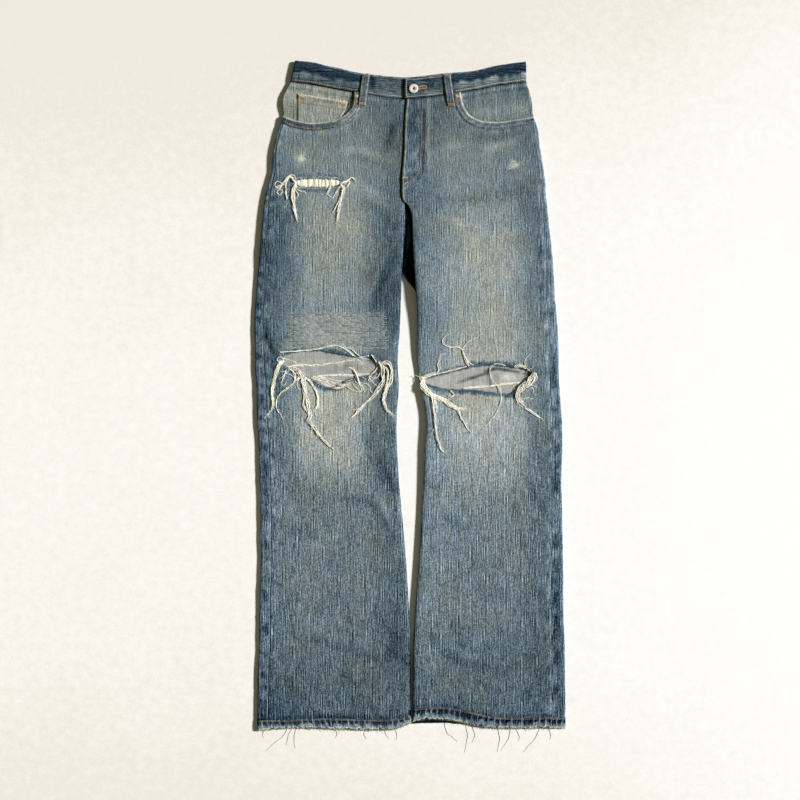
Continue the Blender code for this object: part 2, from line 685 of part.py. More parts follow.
def metalwork():
    """The tack button, whose shank stands in the buttonhole, and the rivets of the pocket mouths."""
    tab_top = FRONT_BAND_LEVEL + TAB_LIFT + BAND_CLOTH / 2
    stand_top = FRONT_BAND_LEVEL + BAND_CLOTH / 2
    rim = BUTTON_RADIUS
    cap = tab_top + SEAM_GAP
    button = [(0.0, cap + 1.1), (2.2, cap + 1.1), (3.4, cap + 1.9), (rim - 1.4, cap + 2.4),
              (rim - 0.4, cap + 2.1), (rim, cap + 1.3), (rim - 0.5, cap + 0.3), (rim - 1.6, cap),
              (SHANK_RADIUS, cap), (SHANK_RADIUS, stand_top + SEAM_GAP), (0.0, stand_top + SEAM_GAP)]
    turned("waist_button", button, (*BUTTON_CENTRE, 0.0), BUTTON_STEPS, NICKEL)
    for name, leg, x, y in (("rivet_right", RIGHT, -85.6, 484.0), ("rivet_left", LEFT, 76.5, 484.0)):
        base = front_height(leg, x, y, CLOTH) + CLOTH / 2 + SEAM_GAP
        rivet = [(0.0, base + 1.0), (1.1, base + 0.9), (1.6, base + 0.6), (RIVET_RADIUS - 0.8, base + 0.8),
                 (RIVET_RADIUS, base + 0.4), (RIVET_RADIUS, base), (0.0, base)]
        turned(name, rivet, (x, y, 0.0), RIVET_STEPS, COPPER)


def collection(name):
    made = bpy.data.collections.new(name)
    bpy.context.scene.collection.children.link(made)
    return made


for existing in list(bpy.data.objects):
    bpy.data.objects.remove(existing, do_unlink=True)
JEANS = collection("ripped_jeans")
CUTTERS = collection("cutters")

fronts()
for panel_name, panel_leg in (("back_right_panel", RIGHT), ("back_left_panel", LEFT)):
    back_panel(panel_name, panel_leg)
hems()
yokes()
seat_pockets()
waistbands()
front_loops()
back_loops()
facings()
coin_pocket()
fly_shield()
thigh_threads()
metalwork()
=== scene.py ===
"""The looks of a pair of ripped jeans that lie flat on their back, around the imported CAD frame.

+Y points to the waist, +X to the wearer's left leg and +Z up. Tables and sizes are in millimetres,
and each mesh is scaled to metres as it is made. Tones are display levels from 0 to 255.
"""
import math
from collections import namedtuple

import bpy
import numpy as np
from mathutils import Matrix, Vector
from mathutils.bvhtree import BVHTree


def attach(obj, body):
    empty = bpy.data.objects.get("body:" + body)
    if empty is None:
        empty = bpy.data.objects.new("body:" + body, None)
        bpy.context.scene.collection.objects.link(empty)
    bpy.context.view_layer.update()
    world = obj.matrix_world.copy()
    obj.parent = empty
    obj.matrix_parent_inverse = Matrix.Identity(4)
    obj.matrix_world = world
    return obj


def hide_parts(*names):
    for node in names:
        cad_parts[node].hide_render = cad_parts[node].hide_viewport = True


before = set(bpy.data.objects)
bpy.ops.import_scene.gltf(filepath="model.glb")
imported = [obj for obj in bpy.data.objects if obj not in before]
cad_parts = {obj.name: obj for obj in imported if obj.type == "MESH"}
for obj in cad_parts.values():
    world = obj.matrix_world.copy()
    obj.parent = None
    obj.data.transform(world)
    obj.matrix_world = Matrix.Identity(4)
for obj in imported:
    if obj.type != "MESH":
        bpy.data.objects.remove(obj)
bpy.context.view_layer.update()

MM = 0.001

# ------------------------------------------------------------------ sizes and tables of the CAD
CLOTH = 1.2
BAND_CLOTH = 2.6
HEM_CLOTH = 2.4
SEAM_GAP = 0.3
LAYER_RISE = 4.5
LAYER_SAG = 0.9
SEAT_LIFT = 1.5
INNER_ROUNDING = 9.0
FLY_DROP = 1.2
FLY_LIFT = 1.0
TAB_LIFT = 3.4
LOOP_WIDTH = 11.5
LOOP_LENGTH = 52.0
FRONT_BAND_LEVEL = 6.2
BACK_BAND_LEVEL = 2.8
FACING_LEVEL = 3.6
TAB_EDGE = -8.0
STAND_END = 27.0
BUTTON_CENTRE = (6.6, 495.6)
# The thickness of what is only laid on: a mouth's and the fly's turned edges, and the bunched weft.
TURNING = 0.8

Station = namedtuple("Station", "y outer inner wrap")
RIGHT_LEG = [
    Station(-542, -247.0, 3.0, 17.0),
    Station(-480, -245.5, 2.4, 17.0),
    Station(-390, -243.5, 1.0, 17.0),
    Station(-266, -241.0, -5.5, 17.0),
    Station(-137, -242.5, -17.0, 17.0),
    Station(-87, -244.0, -20.0, 16.5),
    Station(-32, -246.5, -20.5, 16.0),
    Station(15, -248.5, -17.0, 15.5),
    Station(57, -250.0, -19.0, 15.0),
    Station(110, -251.5, -15.5, 14.0),
    Station(165, -249.0, -13.5, 13.0),
    Station(200, -246.0, -12.5, 11.5),
    Station(230, -242.5, -11.0, 10.0),
    Station(262, -239.5, -8.5, 9.0),
    Station(289, -237.5, -7.5, 8.5),
    Station(310, -235.0, -7.5, 7.5),
    Station(323, -232.5, -4.0, 7.0),
    Station(347, -227.5, -1.0, 5.5),
    Station(364, -223.5, 0.0, 4.5),
    Station(400, -220.5, 2.0, 3.5),
    Station(430, -213.0, 3.0, 3.5),
    Station(452, -205.5, 3.0, 3.5),
    Station(480, -206.0, 4.0, 3.5),
    Station(508, -193.0, 4.0, 3.5),
]
LEFT_LEG = [
    Station(-542, 252.3, 5.0, 22.0),
    Station(-480, 252.0, 4.6, 22.0),
    Station(-390, 250.5, 6.4, 21.0),
    Station(-266, 248.5, 15.0, 20.0),
    Station(-137, 245.5, 22.5, 17.0),
    Station(-87, 247.5, 24.5, 16.5),
    Station(-32, 246.5, 26.5, 16.0),
    Station(15, 243.0, 17.0, 15.5),
    Station(57, 241.5, 12.0, 15.0),
    Station(110, 239.5, 12.5, 15.0),
    Station(165, 235.5, 10.5, 14.0),
    Station(200, 233.0, 8.0, 12.0),
    Station(230, 230.5, 6.0, 10.5),
    Station(262, 227.0, 4.5, 9.5),
    Station(289, 224.5, 3.4, 8.5),
    Station(300, 223.2, 1.6, 8.0),
    Station(309, 222.2, -3.0, 7.5),
    Station(315, 221.4, -9.5, 7.3),
    Station(323, 220.5, -11.4, 7.0),
    Station(347, 219.0, -12.0, 5.5),
    Station(364, 217.5, -11.0, 4.5),
    Station(400, 211.5, -8.0, 3.5),
    Station(430, 208.0, -7.5, 3.5),
    Station(452, 201.0, -6.5, 3.5),
    Station(480, 197.5, -4.0, 3.5),
    Station(508, 189.0, -3.5, 3.5),
]

WaistPoint = namedtuple("WaistPoint", "x seam top")
WAIST = [
    WaistPoint(-193, 508.0, 542.0),
    WaistPoint(-158, 504.0, 538.5),
    WaistPoint(-121, 497.0, 529.5),
    WaistPoint(-85, 490.5, 520.5),
    WaistPoint(-45, 483.5, 515.5),
    WaistPoint(-8, 480.0, 512.5),
    WaistPoint(22, 481.5, 515.0),
    WaistPoint(54, 486.0, 519.0),
    WaistPoint(106, 495.0, 523.5),
    WaistPoint(139, 501.5, 533.0),
    WaistPoint(189, 508.0, 540.5),
]
BAND_END_SLANT = 7.5
BACK_BAND_RISE = 2.5

HemPoint = namedtuple("HemPoint", "x front_bottom front_top back_bottom back_top")
RIGHT_HEM = [
    HemPoint(-252, -542.0, -526.0, -542.0, -526.0),
    HemPoint(-190, -538.0, -524.5, -538.5, -524.5),
    HemPoint(-134, -539.0, -523.0, -539.5, -523.0),
    HemPoint(-28, -540.0, -524.5, -540.5, -524.5),
    HemPoint(5, -529.0, -517.0, -530.0, -517.0),
]
LEFT_HEM = [
    HemPoint(5, -528.0, -507.5, -530.5, -512.5),
    HemPoint(25, -524.0, -505.5, -530.0, -512.5),
    HemPoint(60, -524.5, -505.5, -530.0, -512.5),
    HemPoint(95, -531.0, -511.5, -533.0, -515.5),
    HemPoint(112, -535.5, -516.0, -536.5, -518.5),
    HemPoint(147, -538.0, -521.5, -539.0, -522.5),
    HemPoint(253, -537.5, -520.5, -538.0, -521.5),
]

Fold = namedtuple("Fold", "x y run lean width height")
FOLDS = [
    Fold(-60, 275, 190, 25, 34, 0.50),
    Fold(-90, 225, 200, 18, 36, -0.50),
    Fold(75, 268, 190, -24, 34, 0.50),
    Fold(105, 215, 200, -16, 36, -0.50),
    Fold(-150, 110, 170, 8, 40, 0.45),
    Fold(150, 110, 170, -10, 40, 0.45),
    Fold(-95, -45, 200, -14, 46, 0.50),
    Fold(120, -60, 210, 12, 46, 0.50),
    Fold(-150, -180, 220, 74, 44, 0.45),
    Fold(80, -200, 240, 82, 44, 0.45),
    Fold(-80, -360, 230, 84, 48, 0.50),
    Fold(165, -350, 240, 96, 48, 0.50),
    Fold(-180, -440, 150, 78, 44, -0.45),
    Fold(70, -450, 150, 88, 44, -0.45),
]

RIGHT_MOUTH = [(-89, 492), (-90, 473), (-97, 460), (-109, 450), (-128, 443), (-158, 440),
               (-182, 443.5), (-206, 452)]
LEFT_MOUTH = [(82, 491), (86, 471), (96, 454), (115, 444), (140, 441.5), (170, 445), (202, 450.5)]
RIGHT_KNEE_RIP = [(-212, 57), (-195, 43), (-171, 31.5), (-145, 17), (-121, 12), (-98, 25), (-61, 33),
                  (-48, 38), (-53, 55), (-62, 65), (-80, 61.5), (-117, 69), (-145, 73), (-186, 72)]
LEFT_KNEE_RIP = [(18.5, 25), (31, 17), (59, 10), (106, 7.5), (152, 2.5), (169, 4), (176, 14), (190, 28),
                 (204, 32), (186, 43), (148, 49), (118, 49.5), (77, 41), (40, 31.5)]
THIGH_RIP = [(-188, 344), (-180, 337), (-150, 335.5), (-118, 337), (-110, 344), (-118, 351),
             (-150, 352.5), (-180, 351)]

# ------------------------------------------------------------------ looks, in tables
# How far the wash has faded each leg: display levels at the outseam, the middle and the inner edge.
Tone = namedtuple("Tone", "y outer middle inner")
RIGHT_TONES = [
    Tone(-526, 64, 76, 82), Tone(-493, 70, 84, 90), Tone(-428, 90, 95, 80), Tone(-364, 97, 106, 89),
    Tone(-266, 110, 113, 96), Tone(-169, 110, 115, 106), Tone(-137, 103, 133, 92),
    Tone(-104, 98, 154, 90), Tone(-72, 102, 166, 94), Tone(25, 93, 168, 110),
    Tone(90, 84, 160, 98), Tone(122, 93, 152, 85), Tone(155, 90, 143, 82), Tone(219, 75, 147, 92),
    Tone(284, 76, 149, 96), Tone(317, 88, 145, 95), Tone(349, 100, 133, 97), Tone(381, 106, 130, 97),
    Tone(414, 116, 122, 90), Tone(446, 112, 110, 84), Tone(505, 105, 92, 78),
]
LEFT_TONES = [
    Tone(-526, 84, 92, 88), Tone(-493, 82, 94, 84), Tone(-428, 82, 97, 104), Tone(-364, 88, 110, 112),
    Tone(-266, 98, 115, 117), Tone(-169, 97, 124, 120), Tone(-137, 98, 145, 125),
    Tone(-104, 100, 154, 132), Tone(-72, 106, 165, 135), Tone(25, 113, 171, 136),
    Tone(90, 122, 161, 112), Tone(155, 120, 156, 109), Tone(219, 116, 160, 111),
    Tone(284, 102, 146, 110), Tone(317, 104, 132, 97), Tone(349, 114, 128, 94),
    Tone(381, 112, 127, 99), Tone(414, 100, 119, 83), Tone(446, 96, 102, 80), Tone(505, 98, 88, 86),
]

# Soft marks on the cloth: tone is added, warmth turns the blue to olive and brown. Most are wear; the dark
# crease marks and the darkest marks by the knee holes are painted shade, as marked below.
Patch = namedtuple("Patch", "x y wide tall lean tone warm")
PATCHES = [
    Patch(-135, 262, 46, 60, 10, -2, 0.7),
    Patch(-150, 300, 30, 40, 0, -5, 0.6),
    Patch(-100, 200, 60, 70, 0, -3, 0.3),
    Patch(-120, -20, 60, 60, 0, -3, 0.2),
    Patch(-140, -40, 40, 40, 0, -2, 0.2),
    Patch(95, 210, 60, 90, 0, 0, 0.2),
    Patch(110, 100, 60, 70, 0, 0, 0.1),
    Patch(104, -2, 30, 12, 0, -3, 1.5),
    Patch(-140, -80, 80, 50, 0, 0, -0.6),
    Patch(100, -80, 90, 50, 0, 0, -0.7),
    Patch(-110, -150, 120, 26, 0, 0, 0.5),
    Patch(100, -150, 120, 26, 0, 0, 0.3),
    Patch(-130, 225, 50, 50, 0, 0, 0.5),
    Patch(-60, 290, 30, 60, 0, 0, 0.6),
    Patch(110, -60, 60, 50, 0, 0, 0.2),
    Patch(-65, 325, 60, 10, -35, 8, 0.3),
    Patch(-60, 300, 66, 9, -30, -9, 0.0),
    Patch(-30, 240, 26, 60, 0, -10, -0.5),
    Patch(60, 395, 60, 8, 30, 7, 0.3),
    Patch(150, 405, 60, 9, 22, 9, 0.6),
    Patch(130, 420, 60, 8, 20, -8, 0.0),
    Patch(150, 330, 60, 9, 14, -8, 0.0),
    Patch(90, 345, 70, 9, 16, 6, 0.4),
    # The next two dark marks, beside the fly, are painted shade in a crease.
    Patch(-22, 415, 12, 40, -20, -14, 0.8),
    Patch(-40, 430, 12, 30, -24, -9, 0.4),
    Patch(-62, 185, 18, 24, 0, -16, 1.0),
    Patch(-36, 148, 14, 30, 0, -12, 0.2),
    Patch(-22, 171, 12, 13, 0, -24, 0.2),
    Patch(10, 393, 5, 8, 0, 26, 0.6),
    Patch(6, 374, 6, 8, 0, -20, -0.4),
    # Painted shade in the crease left of the right knee's hole.
    Patch(-228, 60, 14, 40, 0, -16, 0.0),
    Patch(-44, 8, 20, 22, 0, -16, 0.2),
    Patch(-236, -500, 18, 26, 0, -12, 0.0),
    Patch(203, -200, 12, 60, 0, 6, 0.0),
    # Of the next six marks, those of -34 to -50, at the ends and a corner of the knee holes, are painted
    # shadow among the yarns and under the holes' edges.
    Patch(-52, 52, 7, 10, 0, -50, 0.0),
    Patch(-46, 24, 6, 14, 0, -45, 0.0),
    Patch(-30, 34, 12, 22, 0, -14, 0.0),
    Patch(-213, 56, 9, 7, 0, -50, 0.0),
    Patch(194, 40, 8, 5, 0, -45, 0.0),
    Patch(-39, 27, 5, 9, 0, -34, 0.0),
    Patch(209, 257, 5, 7, 0, -34, 0.0),
    Patch(211, 230, 4, 12, 0, -30, 0.0),
    Patch(213, 200, 4, 5, 0, -30, 0.0),
    Patch(214, 177, 4, 6, 0, -28, 0.0),
    Patch(214, 157, 4, 4, 0, -28, 0.0),
    Patch(211, 283, 5, 7, 0, -18, 0.0),
    Patch(213, 346, 4, 6, 0, -30, 0.0),
]


def ramp(value, low, high):
    """An S curve from 0 at low to 1 at high."""
    t = np.clip((value - low) / (high - low), 0.0, 1.0)
    return t * t * (3.0 - 2.0 * t)


def mix(start, end, t):
    """The value a share t of the way from start to end."""
    return start + (end - start) * t


def bell(distance, width):
    """1 at no distance, falling off over about the width."""
    return np.exp(-(distance / width) ** 2)


def edge_drop(distance, radius):
    """How far a rounded edge has dropped: 1 at the edge, and 0 a radius away from it."""
    return 1.0 - np.sqrt(1.0 - np.clip(1.0 - distance / radius, 0.0, 1.0) ** 2)


def along_and_across(row, x, y):
    """How far each point lies from a leaning row's middle, along it and across it."""
    lean = math.radians(row.lean)
    along = (x - row.x) * math.cos(lean) + (y - row.y) * math.sin(lean)
    across = (y - row.y) * math.cos(lean) - (x - row.x) * math.sin(lean)
    return along, across


def repeated(values, columns):
    """A grid with that many columns, all the same."""
    return np.repeat(np.asarray(values)[:, None], columns, axis=1)


def points_of(x, y, z):
    """The points of a grid, row after row."""
    return np.column_stack([part.ravel() for part in np.broadcast_arrays(x, y, z)])


def curve_through(keys, values):
    """A smooth function through the values at the rising keys, as in the CAD."""
    keys = np.array(keys, float)
    values = np.array(values, float)
    last = len(keys) - 1
    before = np.maximum(np.arange(last + 1) - 1, 0)
    after = np.minimum(np.arange(last + 1) + 1, last)
    slopes = (values[after] - values[before]) / (keys[after] - keys[before])

    def value(at):
        at = np.clip(at, keys[0], keys[-1])
        i = np.clip(np.searchsorted(keys, at, "right") - 1, 0, last - 1)
        span = keys[i + 1] - keys[i]
        t = (at - keys[i]) / span
        rise = values[i] * (2 * t**3 - 3 * t**2 + 1) + values[i + 1] * (3 * t**2 - 2 * t**3)
        return rise + span * (slopes[i] * (t**3 - 2 * t**2 + t) + slopes[i + 1] * (t**3 - t**2))

    return value


def column(table, key, field):
    """One column of a table as a smooth function of another."""
    return curve_through([getattr(row, key) for row in table], [getattr(row, field) for row in table])


LATTICE_SIZE = 256
LATTICE = np.random.default_rng(11).random((LATTICE_SIZE, LATTICE_SIZE))


def noise(x, y=0.0, seed=0):
    """Smooth noise from -1 to 1 whose bumps are about one unit wide."""
    x = np.asarray(x, float) + 37.7 * seed
    y = np.asarray(y, float) + 19.3 * seed
    i = np.floor(x).astype(int)
    j = np.floor(y).astype(int)
    u = x - i
    v = y - j
    u = u * u * (3 - 2 * u)
    v = v * v * (3 - 2 * v)

    def corner(right, up):
        return LATTICE[(i + right) % LATTICE_SIZE, (j + up) % LATTICE_SIZE]

    low = mix(corner(0, 0), corner(1, 0), u)
    high = mix(corner(0, 1), corner(1, 1), u)
    return 2.0 * mix(low, high, v) - 1.0


def rounded(points, closed, steps):
    """Points on a smooth curve through a short list of points."""
    points = [np.array(p, float) for p in points]
    count = len(points)
    result = []
    for i in range(count if closed else count - 1):
        a = points[i - 1] if closed or i else points[0]
        b = points[i]
        c = points[(i + 1) % count]
        d = points[(i + 2) % count] if closed else points[min(i + 2, count - 1)]
        for s in range(steps):
            t = s / steps
            result.append(0.5 * (2 * b + (c - a) * t + (2 * a - 5 * b + 4 * c - d) * t**2
                                 + (3 * b - a - 3 * c + d) * t**3))
    if not closed:
        result.append(points[-1])
    return np.array(result)


def resampled(path, step, closed=False):
    """The path again, with points an even step apart."""
    path = np.asarray(path, float)
    if closed:
        path = np.vstack([path, path[:1]])
    lengths = np.r_[0.0, np.cumsum(np.linalg.norm(np.diff(path, axis=0), axis=1))]
    count = max(int(round(lengths[-1] / step)), 1)
    at = np.linspace(0.0, lengths[-1], count + 1)
    result = np.column_stack([np.interp(at, lengths, path[:, k]) for k in range(path.shape[1])])
    return result[:-1] if closed else result


def sideways(path):
    """The unit normals of a flat path, to its left."""
    along = np.gradient(path[:, :2], axis=0)
    along /= np.maximum(np.linalg.norm(along, axis=1), 1e-9)[:, None]
    return np.column_stack([-along[:, 1], along[:, 0]])


def to_outline(x, y, outline):
    """Distance to a closed outline, negative inside it, and the nearest place on it."""
    start = outline
    end = np.roll(outline, -1, axis=0)
    step = end - start
    length = (step**2).sum(1)
    best = np.full(x.shape, 1e9)
    near_x = x.copy()
    near_y = y.copy()
    inside = np.zeros(x.shape, bool)
    for (ax, ay), by, (sx, sy), long in zip(start, end[:, 1], step, length):
        t = np.clip(((x - ax) * sx + (y - ay) * sy) / max(long, 1e-12), 0.0, 1.0)
        px = ax + t * sx
        py = ay + t * sy
        away = np.hypot(x - px, y - py)
        closer = away < best
        best = np.where(closer, away, best)
        near_x = np.where(closer, px, near_x)
        near_y = np.where(closer, py, near_y)
        if ay != by:
            crosses = (ay > y) != (by > y)
            inside ^= crosses & (x < sx * (y - ay) / sy + ax)
    return np.where(inside, -best, best), near_x, near_y


waist_seam = column(WAIST, "x", "seam")
waist_top = column(WAIST, "x", "top")
centre_back = curve_through([200, 320, 510], [-10.5, -3.0, 0.0])


class Leg:
    """The edges of one leg as functions of the height."""

    def __init__(self, name, side, stations, hem, tones, mouth, crotch_tip):
        self.name = name
        self.side = side
        self.outer_fold = column(stations, "y", "outer")
        self.inner = column(stations, "y", "inner")
        self.wrap = column(stations, "y", "wrap")
        self.hem = {field: column(hem, "x", field) for field in HemPoint._fields[1:]}
        self.tones = {field: column(tones, "y", field) for field in Tone._fields[1:]}
        self.mouth = mouth
        self.mouth_line = rounded(mouth, False, 6)
        self.crotch_tip = crotch_tip

    def outer(self, y):
        """The fold at the outside of the leg."""
        uneven = noise(y / 31.0, 0.5, 3 + self.side) + 0.5 * noise(y / 11.0, 0.5, 6 + self.side)
        return self.outer_fold(y) + 0.8 * uneven

    def outseam(self, y):
        """The seam that the back layer reaches after it has wrapped round the fold."""
        return self.outer(y) - self.side * self.wrap(y)

    def back_inner(self, y):
        """The back layer's inner edge, which turns into the centre seam above the crotch."""
        seam = centre_back(y) + self.side * SEAM_GAP / 2
        return mix(self.inner(y), seam, ramp(y, self.crotch_tip, 200))


RIGHT = Leg("right", -1, RIGHT_LEG, RIGHT_HEM, RIGHT_TONES, RIGHT_MOUTH, 190)
LEFT = Leg("left", 1, LEFT_LEG, LEFT_HEM, LEFT_TONES, LEFT_MOUTH, 164)


# ------------------------------------------------------------------ heights of the cloth
# A crease: how wide it is, how high it stands (a trough is below zero), how much paler (or darker) its tone
# is made there, partly as wear and partly as painted shade in a trough and painted light on a ridge, and the
# places it goes through.
Trail = namedtuple("Trail", "width height tone path")
TRAILS = [
    # the right leg, from the hip down
    Trail(9, -0.8, -14, [(-26, 446), (-30, 428), (-36, 412), (-44, 396)]),
    Trail(8, 0.5, 8, [(-17, 440), (-20, 420), (-27, 400), (-36, 384)]),
    Trail(12, 0.5, 8, [(-122, 394), (-92, 398), (-62, 391), (-34, 380)]),
    Trail(11, -0.4, -7, [(-120, 380), (-88, 384), (-56, 374)]),
    Trail(12, 0.6, 6, [(-92, 352), (-66, 333), (-44, 314), (-26, 290)]),
    Trail(12, -0.7, -9, [(-94, 330), (-70, 313), (-47, 293), (-30, 268)]),
    Trail(15, -1.0, -16, [(-20, 240), (-32, 216), (-45, 184), (-56, 155), (-64, 132)]),
    Trail(12, 0.6, 6, [(-34, 244), (-47, 214), (-60, 182), (-70, 152)]),
    Trail(14, -0.5, -5, [(-206, 230), (-196, 196), (-190, 158), (-196, 122)]),
    Trail(7, -1.0, -22, [(-234, 112), (-231, 95), (-224, 76), (-213, 61)]),
    Trail(12, -0.8, -10, [(-219, 60), (-218, 30), (-216, -7)]),
    Trail(10, 0.5, 6, [(-236, 92), (-233, 56), (-230, 14)]),
    Trail(12, -0.7, -7, [(-40, -12), (-56, -36), (-67, -64), (-77, -90)]),
    Trail(11, -0.6, -7, [(-51, -96), (-38, -129), (-32, -148), (-27, -160)]),
    Trail(24, -0.8, -13, [(-74, -40), (-68, -72), (-47, -113), (-33, -140), (-22, -176)]),
    Trail(20, -0.3, -5, [(-200, -147), (-171, -155), (-152, -166)]),
    Trail(13, -0.9, -13, [(-132, -158), (-113, -166), (-88, -169), (-67, -174), (-51, -194), (-35, -218),
                          (-20, -244)]),
    Trail(11, 0.6, 7, [(-61, -153), (-45, -174), (-35, -202), (-27, -220)]),
    Trail(13, -0.7, -9, [(-213, -198), (-194, -218), (-169, -215), (-151, -197)]),
    Trail(12, 0.4, 5, [(-206, -182), (-188, -200), (-168, -199)]),
    Trail(15, -0.5, -5, [(-150, -310), (-121, -328), (-93, -352)]),
    Trail(26, -0.7, -10, [(-64, -350), (-48, -367), (-28, -376), (-28, -404), (-36, -434)]),
    Trail(14, -0.8, -10, [(-181, -384), (-137, -401), (-113, -409), (-80, -416), (-56, -428), (-32, -448)]),
    Trail(12, 0.5, 6, [(-170, -372), (-134, -387), (-100, -396), (-70, -401)]),
    Trail(9, -0.6, -9, [(-34, -415), (-15, -424), (-1, -438)]),
    Trail(11, -0.5, -7, [(-202, -452), (-190, -477), (-168, -494)]),
    Trail(11, -0.5, -7, [(-116, -447), (-96, -461), (-79, -478)]),
    # the left leg, from the hip down
    Trail(12, 0.5, 7, [(34, 390), (58, 402), (86, 404), (112, 412)]),
    Trail(12, -0.5, -8, [(96, 424), (128, 416), (158, 420), (186, 430)]),
    Trail(13, 0.5, 8, [(110, 396), (142, 404), (176, 410)]),
    Trail(16, -0.6, -7, [(14, 336), (33, 323), (66, 317), (106, 317), (147, 323), (179, 336), (211, 356)]),
    Trail(12, 0.5, 5, [(23, 304), (49, 289), (98, 275), (130, 278)]),
    Trail(14, -0.4, -5, [(36, 258), (58, 236), (88, 224)]),
    Trail(14, -0.4, -4, [(196, 210), (188, 168), (192, 128), (202, 92)]),
    Trail(10, 0.5, 5, [(206, 60), (198, 44), (186, 38)]),
    Trail(12, -0.5, -6, [(186, -16), (196, -44), (200, -74), (196, -104)]),
    Trail(10, -0.7, -12, [(23, -136), (36, -147), (54, -150)]),
    Trail(12, -0.7, -9, [(46, -182), (61, -202), (74, -213), (98, -214)]),
    Trail(12, 0.4, 5, [(58, -180), (72, -194), (94, -199)]),
    Trail(12, -0.7, -9, [(179, -117), (195, -150), (216, -190)]),
    Trail(18, -0.5, -3, [(155, -169), (171, -205), (182, -250), (192, -286), (203, -318), (213, -352)]),
    Trail(12, -0.4, -5, [(139, -255), (160, -270), (179, -285)]),
    Trail(12, 0.5, 5, [(120, -240), (146, -262), (170, -270)]),
    Trail(15, -0.9, -12, [(25, -377), (36, -396), (58, -420), (98, -437), (122, -441), (147, -454)]),
    Trail(12, 0.5, 6, [(44, -384), (62, -404), (96, -420), (124, -424)]),
    Trail(22, -0.5, -7, [(64, -350), (75, -383), (87, -417)]),
    Trail(11, -0.5, -8, [(90, -460), (114, -469), (155, -480)]),
    Trail(10, -0.5, -8, [(184, -468), (195, -494)]),
]


def along_trails(table, x, y):
    """The relief and the change of tone that a table of creases gives at each point; the tone is partly wear
    and partly painted shade and light of the creases.
    """
    relief = np.zeros(x.shape)
    tone = np.zeros(x.shape)
    for trail in table:
        path = resampled(rounded(trail.path, False, 6), 2.5)
        reach = 1.3 * trail.width
        low = path.min(0) - reach
        high = path.max(0) + reach
        near = (x > low[0]) & (x < high[0]) & (y > low[1]) & (y < high[1])
        if not near.any():
            continue
        aside = (x[near][:, None] - path[:, 0]) ** 2 + (y[near][:, None] - path[:, 1]) ** 2
        closest = aside.argmin(1)
        away = np.sqrt(aside[np.arange(len(closest)), closest])
        fade = np.sqrt(np.sin(math.pi * closest / (len(path) - 1)).clip(0.0, 1.0))
        amount = fade * np.exp(-(away / (0.5 * trail.width)) ** 2)
        relief[near] += trail.height * amount
        tone[near] += trail.tone * amount
    return relief, tone


def yoke_seam(x):
    """The yoke's seam, which rises from the centre back to the sides."""
    return mix(415.0, 446.0, np.minimum(np.abs(x) / 205.0, 1.0))


def back_height(y):
    """The middle of the back layer, which the yokes and the pockets lift at the seat."""
    return CLOTH / 2 + SEAT_LIFT * ramp(y, 195, 228)


def ridges(table, x, y):
    """The sum of a table's soft ridges and troughs at each point."""
    total = np.zeros(np.broadcast(x, y).shape)
    for row in table:
        along, across = along_and_across(row, x, y)
        fade = np.exp(-(along / (0.5 * row.run)) ** 4)
        total += row.height * fade * bell(across, 0.5 * row.width)
    return total


def front_height(leg, x, y, lowest):
    """The middle of the front layer, as in the CAD."""
    seam = leg.outseam(y)
    inner = leg.inner(y)
    across = np.clip((x - seam) / (inner - seam), 0.0, 1.0)
    below_pockets = 1.0 - ramp(y, 330, 400)
    slack = np.sin(math.pi * across)
    level = LAYER_RISE + below_pockets * slack * (ridges(FOLDS, x, y) - LAYER_SAG)
    above_crotch = ramp(y, 300, 325)
    if leg is RIGHT:
        level -= FLY_DROP * above_crotch * ramp(x, -80, -30)
    else:
        level += FLY_LIFT * above_crotch * (1.0 - ramp(x, 5, 45))
    level = np.maximum(level, lowest)
    closing = 1.0 - (ramp(y, 305, 325) if leg is RIGHT else ramp(y, 270, 312))
    level -= (level - lowest) * edge_drop(np.abs(x - inner), INNER_ROUNDING) * closing
    return back_height(y) + level


def unevenness(leg, x, y):
    """What the CAD's smooth layer leaves out: creases, a little slack, and puckers along the outseam."""
    from_inner = np.clip(np.abs(x - leg.inner(y)) / 14.0, 0.0, 1.0)
    soft = 0.30 * noise(x / 34.0, y / 52.0, 1) + 0.14 * noise(x / 13.0, y / 22.0, 2)
    from_seam = x - leg.outseam(y)
    pucker = 0.42 * noise(y / 9.0 + from_seam / 18.0, 0.5, 5 + leg.side) * np.exp(-(from_seam / 12.0) ** 2)
    allowance = 0.4 * np.exp(-(from_seam / 11.0) ** 4) - 0.25 * np.exp(-(from_seam / 2.5) ** 2)
    return (soft + along_trails(TRAILS, x, y)[0] + pucker + allowance) * from_inner


EDGE_LIFT = curve_through([-540, -470, -300, -180, -80, 5, 38, 75, 105, 130, 165, 205, 255],
                          [2.2, 3.2, 2.8, 2.8, 4.2, 3.4, 0.8, 2.8, 4.6, 6.0, 8.4, 8.0, 0.0])


def edge_lift(leg, x, y):
    """The left leg's inner edge does not lie quite down: a soft ridge lifts both of its layers."""
    if leg is RIGHT:
        return np.zeros(np.shape(x))
    return EDGE_LIFT(y) * np.exp(-(((x - leg.inner(y)) / 34.0) ** 2))


def front_top(leg, x, y):
    """The face of the front layer."""
    level = front_height(leg, x, y, CLOTH + SEAM_GAP) + CLOTH / 2
    return level + unevenness(leg, x, y) + edge_lift(leg, x, y)


# ------------------------------------------------------------------ materials
def linear(red, green, blue):
    """A display colour, with channels from 0 to 255, as Blender's nodes hold it."""
    shares = [c / 255.0 for c in (red, green, blue)]
    return tuple(c / 12.92 if c <= 0.04045 else ((c + 0.055) / 1.055) ** 2.4 for c in shares) + (1.0,)


